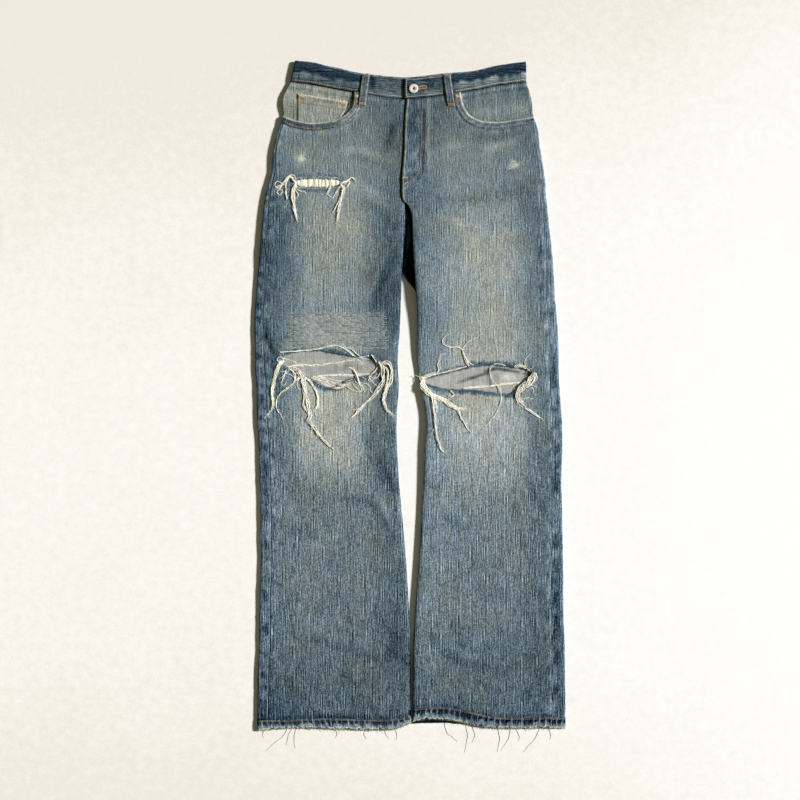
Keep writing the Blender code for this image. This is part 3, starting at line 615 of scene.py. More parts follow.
class Graph:
    """A material's nodes, put together by short calls."""

    def __init__(self, name, roughness=1.0, metallic=0.0, specular=0.0):
        self.material = bpy.data.materials.new(name)
        self.material.use_nodes = True
        self.tree = self.material.node_tree
        self.shader = self.tree.nodes["Principled BSDF"]
        self.shader.inputs["Roughness"].default_value = roughness
        self.shader.inputs["Metallic"].default_value = metallic
        self.shader.inputs["Specular IOR Level"].default_value = specular

    def put(self, socket, value):
        """Link another node's socket, or set a plain value."""
        if isinstance(value, bpy.types.NodeSocket):
            self.tree.links.new(value, socket)
        else:
            socket.default_value = value

    def math(self, operation, a, b=0.0, c=0.0, clamp=False):
        node = self.tree.nodes.new("ShaderNodeMath")
        node.operation = operation
        node.use_clamp = clamp
        for socket, value in zip(node.inputs, (a, b, c)):
            self.put(socket, value)
        return node.outputs[0]

    def vector(self, operation, a, b=(0.0, 0.0, 0.0)):
        node = self.tree.nodes.new("ShaderNodeVectorMath")
        node.operation = operation
        self.put(node.inputs[0], a)
        self.put(node.inputs[1], b)
        return node.outputs[0]

    def scaled(self, vector, scale):
        return self.vector("MULTIPLY", vector, scale)

    def lit(self, display):
        """Turn a display colour, with channels from 0 to 1, into what the shader reads."""
        held = self.vector("MAXIMUM", display, (0.01, 0.01, 0.01))
        lifted = self.vector("ADD", self.scaled(held, (1 / 1.055,) * 3), (0.055 / 1.055,) * 3)
        node = self.tree.nodes.new("ShaderNodeGamma")
        node.inputs["Gamma"].default_value = 2.4
        self.put(node.inputs["Color"], lifted)
        return node.outputs["Color"]

    def attribute(self, name, vector=False):
        node = self.tree.nodes.new("ShaderNodeAttribute")
        node.attribute_name = name
        return node.outputs["Vector" if vector else "Fac"]

    def place(self):
        return self.tree.nodes.new("ShaderNodeTexCoord").outputs["Object"]

    def noise(self, vector, detail=2.0, rough=0.5):
        node = self.tree.nodes.new("ShaderNodeTexNoise")
        node.inputs["Scale"].default_value = 1.0
        node.inputs["Detail"].default_value = detail
        node.inputs["Roughness"].default_value = rough
        self.put(node.inputs["Vector"], vector)
        return node.outputs["Fac"]

    def speckle(self, vector):
        """A random value from 0 to 1 for each unit cell."""
        node = self.tree.nodes.new("ShaderNodeTexWhiteNoise")
        self.put(node.inputs["Vector"], self.vector("FLOOR", vector))
        return node.outputs["Value"]

    def split(self, vector):
        node = self.tree.nodes.new("ShaderNodeSeparateXYZ")
        self.put(node.inputs[0], vector)
        return node.outputs[:]

    def joined(self, *parts):
        node = self.tree.nodes.new("ShaderNodeCombineXYZ")
        for socket, part in zip(node.inputs, parts):
            self.put(socket, part)
        return node.outputs[0]

    def ramp(self, value, stops, as_light=True):
        """stops are (place, display colour); as_light turns them into what the shader reads."""
        node = self.tree.nodes.new("ShaderNodeValToRGB")
        elements = node.color_ramp.elements
        elements[0].position = stops[0][0]
        elements[1].position = stops[-1][0]
        for place, _ in stops[1:-1]:
            elements.new(place)
        for element, (_, colour) in zip(elements, stops):
            element.color = linear(*colour) if as_light else (*[c / 255.0 for c in colour], 1.0)
        self.put(node.inputs["Fac"], value)
        return node.outputs["Color"]

    def blend(self, factor, a, b):
        node = self.tree.nodes.new("ShaderNodeMix")
        node.data_type = "RGBA"
        self.put(node.inputs["Factor"], factor)
        self.put(node.inputs[6], a)
        self.put(node.inputs[7], b)
        return node.outputs[2]

    def bump(self, height, distance, strength=1.0):
        """height in shares of distance, which is in millimetres."""
        node = self.tree.nodes.new("ShaderNodeBump")
        node.inputs["Strength"].default_value = strength
        node.inputs["Distance"].default_value = distance * MM
        self.put(node.inputs["Height"], height)
        self.put(self.shader.inputs["Normal"], node.outputs["Normal"])

    def finished(self, value):
        """The material, with its colour."""
        self.put(self.shader.inputs["Base Color"], value)
        return self.material


# The colour of denim at each display level, from unwashed indigo to bare cotton.
INDIGO = [(0.0, (10, 14, 20)), (0.067, (20, 28, 37)), (0.18, (43, 59, 70)), (0.24, (57, 73, 83)),
          (0.30, (71, 87, 96)), (0.36, (85, 101, 109)), (0.42, (98, 113, 121)), (0.48, (112, 127, 134)),
          (0.54, (126, 140, 147)), (0.60, (143, 154, 158)), (0.655, (159, 167, 168)),
          (0.715, (175, 182, 180)), (0.80, (198, 200, 190)), (0.92, (228, 226, 212))]


def denim():
    """The face of the cloth. Its warp runs along the second of the cloth's own directions: yarns that
    keep their shade for a while, wider slubs that come and go, and the specks of the twill."""
    yarn_width = 1.7
    yarn_length = 24.0
    hue_length = 40.0
    slub_width = 4.0
    float_length = 1.8
    g = Graph("denim_face")
    cloth = g.attribute("cloth", vector=True)
    across, along, _ = g.split(cloth)
    jog = g.noise(g.scaled(cloth, (1 / 9.0, 1 / 500.0, 1.0)), 0.0)
    number = g.math("FLOOR", g.math("MULTIPLY_ADD", across, 1 / yarn_width, g.math("MULTIPLY", jog, 3.0)))
    yarn_place = g.joined(g.math("MULTIPLY", number, 5.37), g.math("MULTIPLY", along, 1 / yarn_length))
    yarn = g.noise(yarn_place, 3.0, 0.6)
    wander = g.noise(g.scaled(cloth, (1 / 11.0, 1 / 600.0, 1.0)), 0.0)
    phase = g.math("MULTIPLY_ADD", across, 2 * math.pi / slub_width, g.math("MULTIPLY", wander, 10.0))
    coming = g.noise(g.scaled(cloth, (1 / 8.0, 1 / 22.0, 1.0)), 0.0)
    slub = g.math("MULTIPLY", g.math("SINE", phase), g.math("MULTIPLY_ADD", coming, 0.60, -0.25))
    float_number = g.math("FLOOR", across)
    float_place = g.math("MULTIPLY_ADD", float_number, 0.37, g.math("MULTIPLY", along, 1 / float_length))
    speck = g.speckle(g.joined(float_number, float_place))
    streak = g.math("MULTIPLY_ADD", yarn, 0.46, g.math("SUBTRACT", slub, 0.38))
    streak = g.math("MULTIPLY_ADD", speck, 0.30, streak)
    dye = g.ramp(g.attribute("tone"), INDIGO, as_light=False)
    hue_place = g.joined(g.math("MULTIPLY", number, 3.11), g.math("MULTIPLY", along, 1 / hue_length))
    hue = g.math("MULTIPLY_ADD", g.noise(hue_place, 1.0), 2.6, -1.3)
    warm = g.math("ADD", g.attribute("warm"), hue)
    redder = g.math("MULTIPLY_ADD", warm, 0.027, 1.0)
    bluer = g.math("MULTIPLY_ADD", warm, -0.045, 1.0)
    tint = g.joined(redder, 1.0, bluer)
    change = g.math("MULTIPLY", g.attribute("grain"), streak)
    face = g.vector("ADD", g.vector("MULTIPLY", dye, tint), g.joined(change, change, change))
    scratch = g.noise(g.scaled(cloth, (1 / 5.5, 1 / 1.6, 1.0)), 2.0, 0.7)
    over = g.math("SUBTRACT", g.math("ADD", scratch, g.attribute("worn")), 1.0)
    bare = g.math("MULTIPLY", over, 4.5, clamp=True)
    face = g.blend(g.math("MULTIPLY", bare, 0.95), g.lit(face), linear(214, 214, 200))
    g.bump(streak, 0.5, 0.7)
    return g.finished(face)


def denim_reverse():
    """The grey reverse of the cloth: mostly weft, with the twill's fine ribs."""
    g = Graph("denim_reverse")
    cloth = g.attribute("cloth", vector=True)
    rib = g.noise(g.scaled(cloth, (1 / 1.6, 1 / 34.0, 1.0)), 1.0, 0.6)
    speck = g.noise(g.scaled(cloth, (1 / 1.6, 1 / 2.4, 1.0)), 1.0, 0.6)
    soft = g.noise(g.scaled(cloth, (1 / 9.0, 1 / 12.0, 1.0)), 2.0, 0.5)
    level = g.math("MULTIPLY_ADD", rib, 0.28, g.attribute("lining"))
    level = g.math("MULTIPLY_ADD", speck, 0.30, level)
    level = g.math("MULTIPLY_ADD", soft, 0.24, g.math("SUBTRACT", level, 0.41))
    face = g.ramp(level, [(0.0, (6, 8, 10)), (0.14, (28, 34, 38)), (0.4, (98, 101, 99)),
                          (0.5, (128, 129, 127)), (0.64, (164, 164, 161)), (0.75, (189, 188, 184)),
                          (0.9, (226, 223, 212))])
    g.bump(rib, 0.4, 0.7)
    return g.finished(face)


def yarn_material(name, colours):
    """Loose or sewing thread: colours from its shaded to its lit fibres."""
    g = Graph(name)
    fibre = g.noise(g.scaled(g.place(), (900.0, 900.0, 900.0)), 2.0, 0.6)
    patch = g.noise(g.scaled(g.place(), (60.0, 60.0, 60.0)), 1.0, 0.5)
    level = g.math("MULTIPLY_ADD", fibre, 0.9, g.math("MULTIPLY_ADD", patch, 0.8, -0.35))
    stops = [(0.2 + 0.6 * i / (len(colours) - 1), colour) for i, colour in enumerate(colours)]
    g.bump(fibre, 0.3, 0.8)
    return g.finished(g.ramp(level, stops))


def metal(name, colours, metallic):
    """Worn plated metal: colours from its tarnish to its bright edges."""
    g = Graph(name, roughness=0.5, metallic=metallic, specular=0.5)
    tarnish = g.noise(g.scaled(g.place(), (450.0, 450.0, 450.0)), 3.0, 0.6)
    stops = [(0.3 + 0.4 * i / (len(colours) - 1), colour) for i, colour in enumerate(colours)]
    g.bump(tarnish, 0.12, 0.6)
    return g.finished(g.ramp(tarnish, stops))


DENIM = denim()
REVERSE = denim_reverse()
COTTON = yarn_material("bare_cotton", [(234, 227, 206), (248, 244, 228), (255, 253, 244)])
TOPSTITCH = yarn_material("pale_topstitch", [(176, 156, 124), (220, 204, 170), (240, 230, 206)])
ORANGE = yarn_material("orange_topstitch", [(142, 110, 80), (190, 154, 114), (220, 190, 152)])
RUST = yarn_material("rust_topstitch", [(112, 88, 78), (160, 130, 112), (200, 174, 152)])
UMBER = yarn_material("faded_topstitch", [(98, 80, 80), (150, 128, 116), (202, 180, 158)])
BROWN = yarn_material("dark_topstitch", [(54, 46, 50), (82, 68, 66), (112, 96, 88)])
SEAM_PALE = yarn_material("rubbed_seam", [(94, 110, 118), (132, 148, 154), (176, 184, 180)])
WARP_BLUE = yarn_material("blue_warp", [(54, 82, 104), (84, 114, 134), (134, 158, 168)])
HEM_GREY = yarn_material("worn_fray", [(92, 98, 96), (140, 142, 134), (190, 186, 170)])
HAIR = yarn_material("hem_hair", [(80, 76, 70), (118, 112, 102), (164, 158, 146)])
HEM_PALE = yarn_material("bare_hem", [(160, 168, 160), (204, 206, 194), (236, 234, 220)])
NICKEL = metal("worn_nickel", [(170, 164, 148), (216, 211, 196), (238, 235, 224)], 0.3)
TARNISH = metal("tarnished_middle", [(30, 30, 30), (78, 74, 66), (150, 144, 128)], 0.6)
COPPER = metal("worn_copper", [(110, 84, 62), (174, 144, 112), (206, 182, 152)], 0.5)


# ------------------------------------------------------------------ building meshes
def quads(rows, columns, flip=False):
    """The faces of a grid of points, row after row."""
    start = (np.arange(rows - 1)[:, None] * columns + np.arange(columns - 1)[None, :]).ravel()
    faces = np.column_stack([start, start + 1, start + columns + 1, start + columns])
    return faces[:, ::-1] if flip else faces


def piece(name, points, faces, materials, nodes=(), marks=None, thickness=0.0):
    """A visible piece of the jeans. points are in millimetres; marks are its vertex attributes."""
    mesh = bpy.data.meshes.new(name)
    mesh.from_pydata((np.asarray(points) * MM).tolist(), [], [list(map(int, f)) for f in faces])
    mesh.shade_smooth()
    for key, values in (marks or {}).items():
        values = np.asarray(values, float)
        wide = values.ndim == 2
        layer = mesh.attributes.new(key, "FLOAT_VECTOR" if wide else "FLOAT", "POINT")
        layer.data.foreach_set("vector" if wide else "value", values.ravel())
    for material in materials:
        mesh.materials.append(material)
    obj = bpy.data.objects.new(name, mesh)
    bpy.context.scene.collection.objects.link(obj)
    if thickness:
        shell = obj.modifiers.new("thickness", "SOLIDIFY")
        shell.thickness = thickness * MM
        shell.offset = -1.0
        shell.material_offset = len(materials) - 1
    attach(obj, "root")
    if nodes:
        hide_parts(*nodes)
    return obj


def trimmed(x, y, faces, outline, inside):
    """Faces of a flat grid on one side of an outline, with the points along the cut moved onto it."""
    distance = to_outline(x[faces].mean(1), y[faces].mean(1), outline)[0]
    wanted = distance < 0 if inside else distance > 0
    kept = faces[wanted]
    border = np.intersect1d(kept, faces[~wanted])
    x = x.copy()
    y = y.copy()
    _, x[border], y[border] = to_outline(x[border], y[border], outline)
    return x, y, kept


def used_only(arrays, faces):
    """Leave out the points that no face uses."""
    used, faces_again = np.unique(faces, return_inverse=True)
    return [a[used] for a in arrays], faces_again.reshape(faces.shape)


def marks_of(tone, x, y, warm=0.0, grain=1.0, worn=0.0, lining=120.0, cloth=None):
    """The vertex attributes of a piece of denim, with tones as display levels. cloth is the place of
    each point across and along the warp."""
    def flat(values):
        return np.broadcast_to(np.asarray(values, float), np.shape(x)).ravel()

    across, along = (x, y) if cloth is None else cloth
    return {"tone": flat(tone) / 255.0, "warm": flat(warm), "grain": flat(grain), "worn": flat(worn),
            "lining": flat(lining) / 255.0,
            "cloth": np.column_stack([flat(across), flat(along), flat(0.0)])}


def tubes(paths, radii, sides=5):
    """Points and faces of thin tubes along paths, closed by points at their ends."""
    all_points = []
    all_faces = []
    base = 0
    turn = 2 * math.pi * np.arange(sides) / sides
    for path, radius in zip(paths, radii):
        path = np.asarray(path, float)
        count = len(path)
        radius = np.broadcast_to(np.asarray(radius, float), (count,))
        along = np.gradient(path, axis=0)
        along /= np.maximum(np.linalg.norm(along, axis=1), 1e-9)[:, None]
        side = np.cross(along, (0.0, 0.0, 1.0))
        flat = np.linalg.norm(side, axis=1) < 1e-3
        side[flat] = (1.0, 0.0, 0.0)
        side /= np.linalg.norm(side, axis=1)[:, None]
        up = np.cross(side, along)
        ring = side[:, None, :] * np.cos(turn)[None, :, None] + up[:, None, :] * np.sin(turn)[None, :, None]
        rings = path[:, None, :] + ring * radius[:, None, None]
        tips = np.array([path[0] - along[0] * radius[0] * 0.8, path[-1] + along[-1] * radius[-1] * 0.8])
        all_points.append(np.vstack([rings.reshape(-1, 3), tips]))
        i = np.arange(count - 1)[:, None] * sides
        j = np.arange(sides)[None, :]
        k = (j + 1) % sides
        body = np.stack([i + j, i + k, i + sides + k, i + sides + j], -1).reshape(-1, 4) + base
        all_faces.extend(body.tolist())
        first_tip = base + count * sides
        last_ring = base + (count - 1) * sides
        for a in range(sides):
            b = (a + 1) % sides
            all_faces.append([first_tip, base + b, base + a])
            all_faces.append([first_tip + 1, last_ring + a, last_ring + b])
        base += count * sides + 2
    return np.vstack(all_points), all_faces


# ------------------------------------------------------------------ the legs
# The level of the cloth's reverse at the edges of a front leg.
FRONT_REVERSE = 166.0
# The x of a grid's edges depends on y, and y on x: a few rounds settle both.
SETTLING_ROUNDS = 6
LEGS = (RIGHT, LEFT)


def beyond_mouth(leg):
    """All that a pocket's mouth takes out of a front panel, with room to spare outside it."""
    far = leg.side * 240.0
    beside = [(far, leg.mouth[-1][1]), (far, 530.0), (leg.mouth[0][0], 530.0)]
    return np.vstack([leg.mouth_line, beside])


def ragged(outline, steps, amount, seed):
    """A worn-through hole's outline: smooth on the whole, uneven at the yarns."""
    path = resampled(rounded(outline, True, steps), 1.5, closed=True)
    at = np.arange(len(path)) * 1.5
    push = amount * (noise(at / 3.0, 0.5, seed) + 0.7 * noise(at / 8.0, 0.5, seed + 1))
    push *= np.minimum(np.minimum(at, at[-1] - at) / 8.0, 1.0)
    return path + sideways(path) * push[:, None]


RIGHT_KNEE = ragged(RIGHT_KNEE_RIP, 6, 0.9, 21)
LEFT_KNEE = ragged(LEFT_KNEE_RIP, 6, 0.9, 31)
THIGH = ragged(THIGH_RIP, 6, 0.8, 41)
RIPS = {RIGHT: [RIGHT_KNEE, THIGH], LEFT: [LEFT_KNEE]}


def patched(table, x, y):
    """The tone and warmth that a table of soft marks adds."""
    tone = np.zeros(x.shape)
    warm = np.zeros(x.shape)
    for row in table:
        along, across = along_and_across(row, x, y)
        amount = np.exp(-(along / row.wide) ** 2 - (across / row.tall) ** 2)
        tone += row.tone * amount
        warm += row.warm * amount
    return tone, warm


def seam_beads(leg, x, y):
    """Dark and pale marks that the lumpy allowance wears into the cloth along the outseam."""
    from_seam = (x - leg.outseam(y)) * -leg.side
    inside = from_seam > 0.0
    at = y / (9.0 if leg is RIGHT else 13.0) + np.where(inside, 0.0, 40.0)
    lump = noise(at + from_seam / 30.0, 0.5, 56 + leg.side)
    lump += 0.5 * noise(y / 4.5, from_seam / 5.0, 58 + leg.side)
    away = np.abs(from_seam)
    low = 0.55 + 0.45 * ramp(-y, -250, -50)
    high = ramp(y, 60, 120)
    strength = np.where(inside, mix(26.0, 42.0, high) if leg is RIGHT else mix(16.0, 26.0, high), 50.0)
    middle = np.where(inside, 6.0, 8.0)
    dark = -strength * low * ramp(lump, -0.1, 0.35) * bell(away - middle, 0.65 * middle)
    pale = 30.0 * ramp(-lump, 0.0, 0.5) * bell(away - 4.0, 2.8)
    return dark + pale + 7.0 * bell(away - 8.0, 6.0)


def wash(leg, x, y):
    """The tone and warmth of a leg's face, seams and wear included, with the painted shade and light of its
    creases and the painted shade of some marks.
    """
    seam = leg.outseam(y)
    inner = leg.inner(y)
    across = (x - seam) / (inner - seam)
    middle = leg.tones["middle"](y)
    tone = middle + (leg.tones["outer"](y) - middle) * (1.0 - ramp(across, 0.03, 0.36))
    tone += (leg.tones["inner"](y) - middle) * ramp(across, 0.6, 0.96)
    from_seam = np.abs(x - seam)
    from_inner = np.abs(x - inner)
    edge = np.maximum(bell(from_seam, 24.0), bell(from_inner, 14.0))
    warm = 0.65 * ramp(tone, 105, 165) - 0.45 * edge + 0.75 * ramp(y, 330, 400) - 0.7 * ramp(-y, 470, 520)
    added, warmer = patched(PATCHES, x, y)
    # The marks' tone holds some painted shade, and the creases' tone painted shade and light.
    tone = tone + added + 1.9 * along_trails(TRAILS, x, y)[1]
    tone += 6.0 * noise(x / 15.0, y / 26.0, 51) + 5.0 * noise(x / 6.5, y / 13.0, 52)
    warm = warm + warmer + 0.7 * noise(x / 26.0, y / 34.0, 53) + 0.5 * noise(x / 8.0, y / 12.0, 57)
    blotch = 16.0 * noise(x / 6.0, y / 17.0, 54) + 9.0 * noise(x / 3.0, y / 8.0, 55)
    tone += blotch * np.maximum(bell(from_seam, 15.0), 0.6 * bell(from_inner, 9.0))
    beads = seam_beads(leg, x, y)
    warm += 0.02 * np.minimum(beads, 0.0)
    return tone + beads, warm


def fineness(y):
    """How strong the streaks are, and the cloth's own lengthwise place: shorter slubs above the thigh."""
    grain = mix(0.97, 0.74, ramp(y, -160, 60)) * (1.0 - 0.12 * ramp(y, 280, 390))
    above = y - 320.0
    return grain, y + 0.5 * (above + np.sqrt(above**2 + 40.0**2))


def shade_and_wear_below_band(x, y):
    """Painted shade as a dark line in the groove under the waistband's seam, and the paler ridge of wear
    below it.
    """
    below = waist_seam(x) - y
    pucker = noise(x / 4.0 + below / 9.0, 0.5, 61)
    # The dark line is painted shade; the pale ridge with its puckers is wear.
    return -34.0 * bell(below, 2.4) + (13.0 + 16.0 * pucker) * bell(below - 6.0, 3.0)


def wear_and_shade_round_mouth(mouth, x, y):
    """Pale puckers beside the stitched edge of a pocket's mouth, and a painted shadow line just outside the
    mouth's turned edge.
    """
    step = 4.0
    near = y > 405.0
    away = np.full(x.shape, 1e3)
    at = np.zeros(x.shape)
    for i, (px, py) in enumerate(resampled(mouth, step)):
        distance = np.hypot(x[near] - px, y[near] - py)
        closer = distance < away[near]
        away[near] = np.where(closer, distance, away[near])
        at[near] = np.where(closer, step * i, at[near])
    pucker = noise(at / 7.0, away / 10.0, 62)
    # The dark line at 11.5 mm, where the turned edge ends, is painted shadow.
    return (12.0 + 24.0 * pucker) * bell(away - 15.0, 4.0) - 16.0 * bell(away - 11.5, 2.0)


def wear_and_shade_above_hem(leg, x, y):
    """Puckers above the hem's seam, a dark band just above it, and painted shade along the leg's inner edge
    at its end, in the narrow gap between the legs.
    """
    above = y - leg.hem["front_top"](x)
    pull = noise(x / 12.0, 0.5, 68) + 0.5 * noise(x / 5.0, above / 9.0, 69)
    change = 16.0 * pull * bell(above - 13.0, 9.0)
    change -= (30.0 + 22.0 * pull) * bell(above - 3.0, 4.0) * ramp(above, 0.0, 1.2)
    # The dark inner edge near the leg's end is painted shade.
    return change - 60.0 * bell(x - leg.inner(y), 2.4) * ramp(-y, 380, 420)


def frayed_rims(leg, x, y, z, tone, warm):
    """Frayed blue cloth round the holes. Round a knee's hole it sinks to the back layer."""
    for hole in RIPS[leg]:
        near = np.abs(y - hole[:, 1].mean()) < 80.0
        away = np.full(x.shape, 1e3)
        away[near] = np.abs(to_outline(x[near], y[near], hole)[0])
        reach = away + 3.0 * noise(x / 6.0, y / 5.0, 63)
        frayed = (0.7 if hole is THIGH else 0.92) * (1.0 - ramp(reach, 3.0, 7.0))
        tone = mix(tone, 92.0 + 34.0 * noise(x / 3.0, y / 3.0, 67), frayed)
        warm = mix(warm, -0.6, frayed)
        if hole is not THIGH:
            resting = back_height(y) + 1.5 * CLOTH + SEAM_GAP + edge_lift(leg, x, y)
            z = mix(z, resting, 0.85 * bell(away, 7.0))
        z = z + (0.6 + 0.6 * noise(x / 11.0, y / 11.0, 64)) * bell(away, 3.6)
    return z, tone, warm


def darned(x, y):
    """Where the cloth above the right knee is darned, from 0 to 1."""
    left_edge = -206.0 + 12.0 * ramp(y, 84, 110)
    return ramp(134.0 - y, -1.0, 2.0) * ramp(x, left_edge, left_edge + 8.0) * (1.0 - ramp(x, -44, -36))


def right_front_wear_and_shade(x, y, z, tone, warm):
    """The right front's own marks: the hip's abrasion, the darned cloth, painted shade along its inner edge
    near the crotch, and what the fly shelters, darker as unfaded cloth and as painted shade in the gap by the
    fly's edge.
    """
    worn = 0.24 * bell(np.hypot((x + 175) / 1.2, y - 383), 4.0)
    worn += 0.56 * bell(np.hypot(x + 177, y - 384), 20.0) ** 0.6
    tone = tone + 14.0 * bell(np.hypot(x + 177, (y - 385) / 1.2), 16.0)
    # Painted shade along the inner edge near the crotch, which faces the light.
    tone -= 12.0 * bell(x - RIGHT.inner(y), 4.0) * (1.0 - ramp(y, 290, 325)) * ramp(y, 120, 180)
    tone -= 3.0 * darned(x, y) * ramp(y, 74, 84)
    tone -= 9.0 * bell(y - 142.0, 9.0) * ramp(x, -204, -194) * (1.0 - ramp(x, -44, -36))
    # Beside the fly's edge the cloth is set darker: unfaded where the fly covers it, and painted shade in the
    # gap there.
    sheltered_and_shaded = ramp(x, LEFT.inner(y) - 4.2, LEFT.inner(y) - 1.6) * ramp(y, 316, 326)
    return z - sheltered_and_shaded, mix(tone, 50.0, sheltered_and_shaded), warm + 0.3 * darned(x, y), worn


Speck = namedtuple("Speck", "x y size")
LEFT_SPECKS = [
    Speck(160, 367, 4.5), Speck(173, 371, 6.0), Speck(186, 379, 4.5),
    Speck(151, 360, 3.5), Speck(178, 388, 3.5), Speck(167, 380, 3.0),
]


def left_front_wear(x, y, z, tone, warm):
    """The left front's own marks: the hip's abrasion and the worn fly."""
    worn = 0.50 * bell(np.hypot((x - 168) / 1.6, y - 374), 14.0)
    for speck in LEFT_SPECKS:
        worn += 0.20 * bell(np.hypot((x - speck.x) / 1.6, y - speck.y), speck.size)
    tone = tone + 2.0 * bell(np.hypot((x - 168) / 1.5, y - 374), 13.0)
    on_fly = ramp(y, 318, 345) * (1.0 - ramp(x, 26, 30))
    tone += on_fly * (24.0 * noise(x / 5.5, y / 8.0, 65) + 18.0 * noise(x / 10.0, y / 16.0, 66) + 2.0)
    between_rows = bell(x - 22.5, 3.2) * ramp(y, 345, 365)
    tone -= (26.0 + 14.0 * noise(x / 3.0, y / 6.0, 76)) * between_rows
    tone += 30.0 * bell(x - 31.0, 2.6) * ramp(y, 360, 380)
    tone += 40.0 * bell(x - LEFT.inner(y), 1.4) * ramp(y, 305, 318)
    return z, tone, warm - 1.2 * on_fly, worn


def between_seams(leg, y, columns, rounding, edge):
    """The x of a front piece: even columns up to its rounded inner edge, and then those of edge,
    which are distances from it."""
    start = leg.outseam(y)[:, :columns]
    end = leg.inner(y)
    wide = mix(start, end[:, :columns] + leg.side * rounding, np.linspace(0.0, 1.0, columns))
    return np.hstack([wide, end[:, columns:] + leg.side * edge])


def front_grid(leg):
    """The places and faces of a front leg, before anything is cut out of it."""
    rows = 366
    columns = 86
    rounding = INNER_ROUNDING * 1.3
    edge = np.array([0.86, 0.7, 0.54, 0.4, 0.27, 0.15, 0.06, 0.0]) * rounding
    down = repeated(np.linspace(0.0, 1.0, rows), columns + len(edge))
    y = mix(500.0, -525.0, down)
    for _ in range(SETTLING_ROUNDS):
        x = between_seams(leg, y, columns, rounding, edge)
        y = mix(waist_seam(x) - SEAM_GAP / 2, leg.hem["front_top"](x) + SEAM_GAP / 2, down)
    return x.ravel(), y.ravel(), quads(rows, x.shape[1], flip=leg is RIGHT)


def front(leg):
    """A front leg from the waistband's seam to the hem's, with its holes and its pocket's mouth."""
    x, y, faces = front_grid(leg)
    for outline in (beyond_mouth(leg), *RIPS[leg]):
        x, y, faces = trimmed(x, y, faces, outline, inside=False)
    (x, y), faces = used_only([x, y], faces)
    z = front_top(leg, x, y)
    tone, warm = wash(leg, x, y)
    tone += shade_and_wear_below_band(x, y) + wear_and_shade_round_mouth(leg.mouth_line, x, y) + wear_and_shade_above_hem(leg, x, y)
    z, tone, warm = frayed_rims(leg, x, y, z, tone, warm)
    own_marks = right_front_wear_and_shade if leg is RIGHT else left_front_wear
    z, tone, warm, worn = own_marks(x, y, z, tone, warm)
    grain, along = fineness(y)
    if leg is RIGHT:
        grain = grain * (1.0 - 0.45 * darned(x, y) * ramp(y, 74, 84))
    marks = marks_of(tone, x, y, warm, grain, worn, FRONT_REVERSE, cloth=(x, along))
    return piece("front_leg_" + leg.name, points_of(x, y, z), faces, [DENIM, REVERSE],
                 [f"front_{leg.name}_panel"], marks, CLOTH)


# Folds of the back layer, and shade on it, that show through the holes.
INSIDE_TRAILS = [
    Trail(4.2, 0.9, -95, [(76, 20), (106, 30), (127, 37), (140, 46)]),
    Trail(4.2, 0.9, -105, [(118, 39), (140, 43.5), (158, 41), (184, 37)]),
    Trail(4.0, 0.7, -85, [(126, 41), (129, 28), (134, 10)]),
    Trail(9, 0.0, -130, [(184, 36), (192, 35), (202, 32)]),
    Trail(10, 0.0, -110, [(-70, 62), (-60, 58), (-54, 50)]),
    Trail(15, 0.0, 44, [(144, 27), (158, 29), (174, 29)]),
    Trail(13, 0.7, 8, [(40, 20), (70, 24), (100, 24)]),
    Trail(10, 0.6, -10, [(138, 30), (156, 26), (180, 28)]),
    Trail(14, 0.7, 7, [(-190, 60), (-158, 54), (-122, 56), (-90, 60)]),
    Trail(9, 0.6, -22, [(-126, 38), (-104, 46), (-84, 44), (-66, 50)]),
    Trail(8, 0.5, -20, [(-108, 66), (-98, 54), (-94, 44)]),
]


def back_places(leg, top_line, bottom_line, thickness, rise, shares, flat_count, turn_count, top_count):
    """The outer face of a back piece: under the leg, round its outer fold and on to the outseam.
    shares are its rows' places between the two lines."""
    radius = rise / 2
    outer_radius = radius + thickness / 2
    lift = (thickness - CLOTH) / 2
    columns = flat_count + turn_count + top_count
    down = repeated(shares, columns)
    flat = np.linspace(0.0, 1.0, flat_count, endpoint=False)[None, :]
    turn = math.pi * np.linspace(0.0, 1.0, turn_count, endpoint=False)[None, :]
    top = np.linspace(0.0, 1.0, top_count)[None, :]
    y = mix(420.0, -525.0, down)
    a = flat_count
    b = flat_count + turn_count
    for _ in range(SETTLING_ROUNDS):
        axis = leg.outer(y) - leg.side * outer_radius
        under = mix(leg.back_inner(y)[:, :a], axis[:, :a], flat)
        round_it = axis[:, a:b] + leg.side * outer_radius * np.sin(turn)
        over = mix(axis[:, b:], leg.outseam(y)[:, b:], top)
        x = np.hstack([under, round_it, over])
        y = mix(top_line(x), bottom_line(x), down)
    middle = back_height(y) + lift
    z = np.hstack([middle[:, :a] - thickness / 2,
                   middle[:, a:b] + radius - outer_radius * np.cos(turn),
                   middle[:, b:] + rise + thickness / 2])
    part = np.zeros(x.shape)
    part[:, a:b] = turn / math.pi
    part[:, b:] = 1.0
    return x, y, z, part


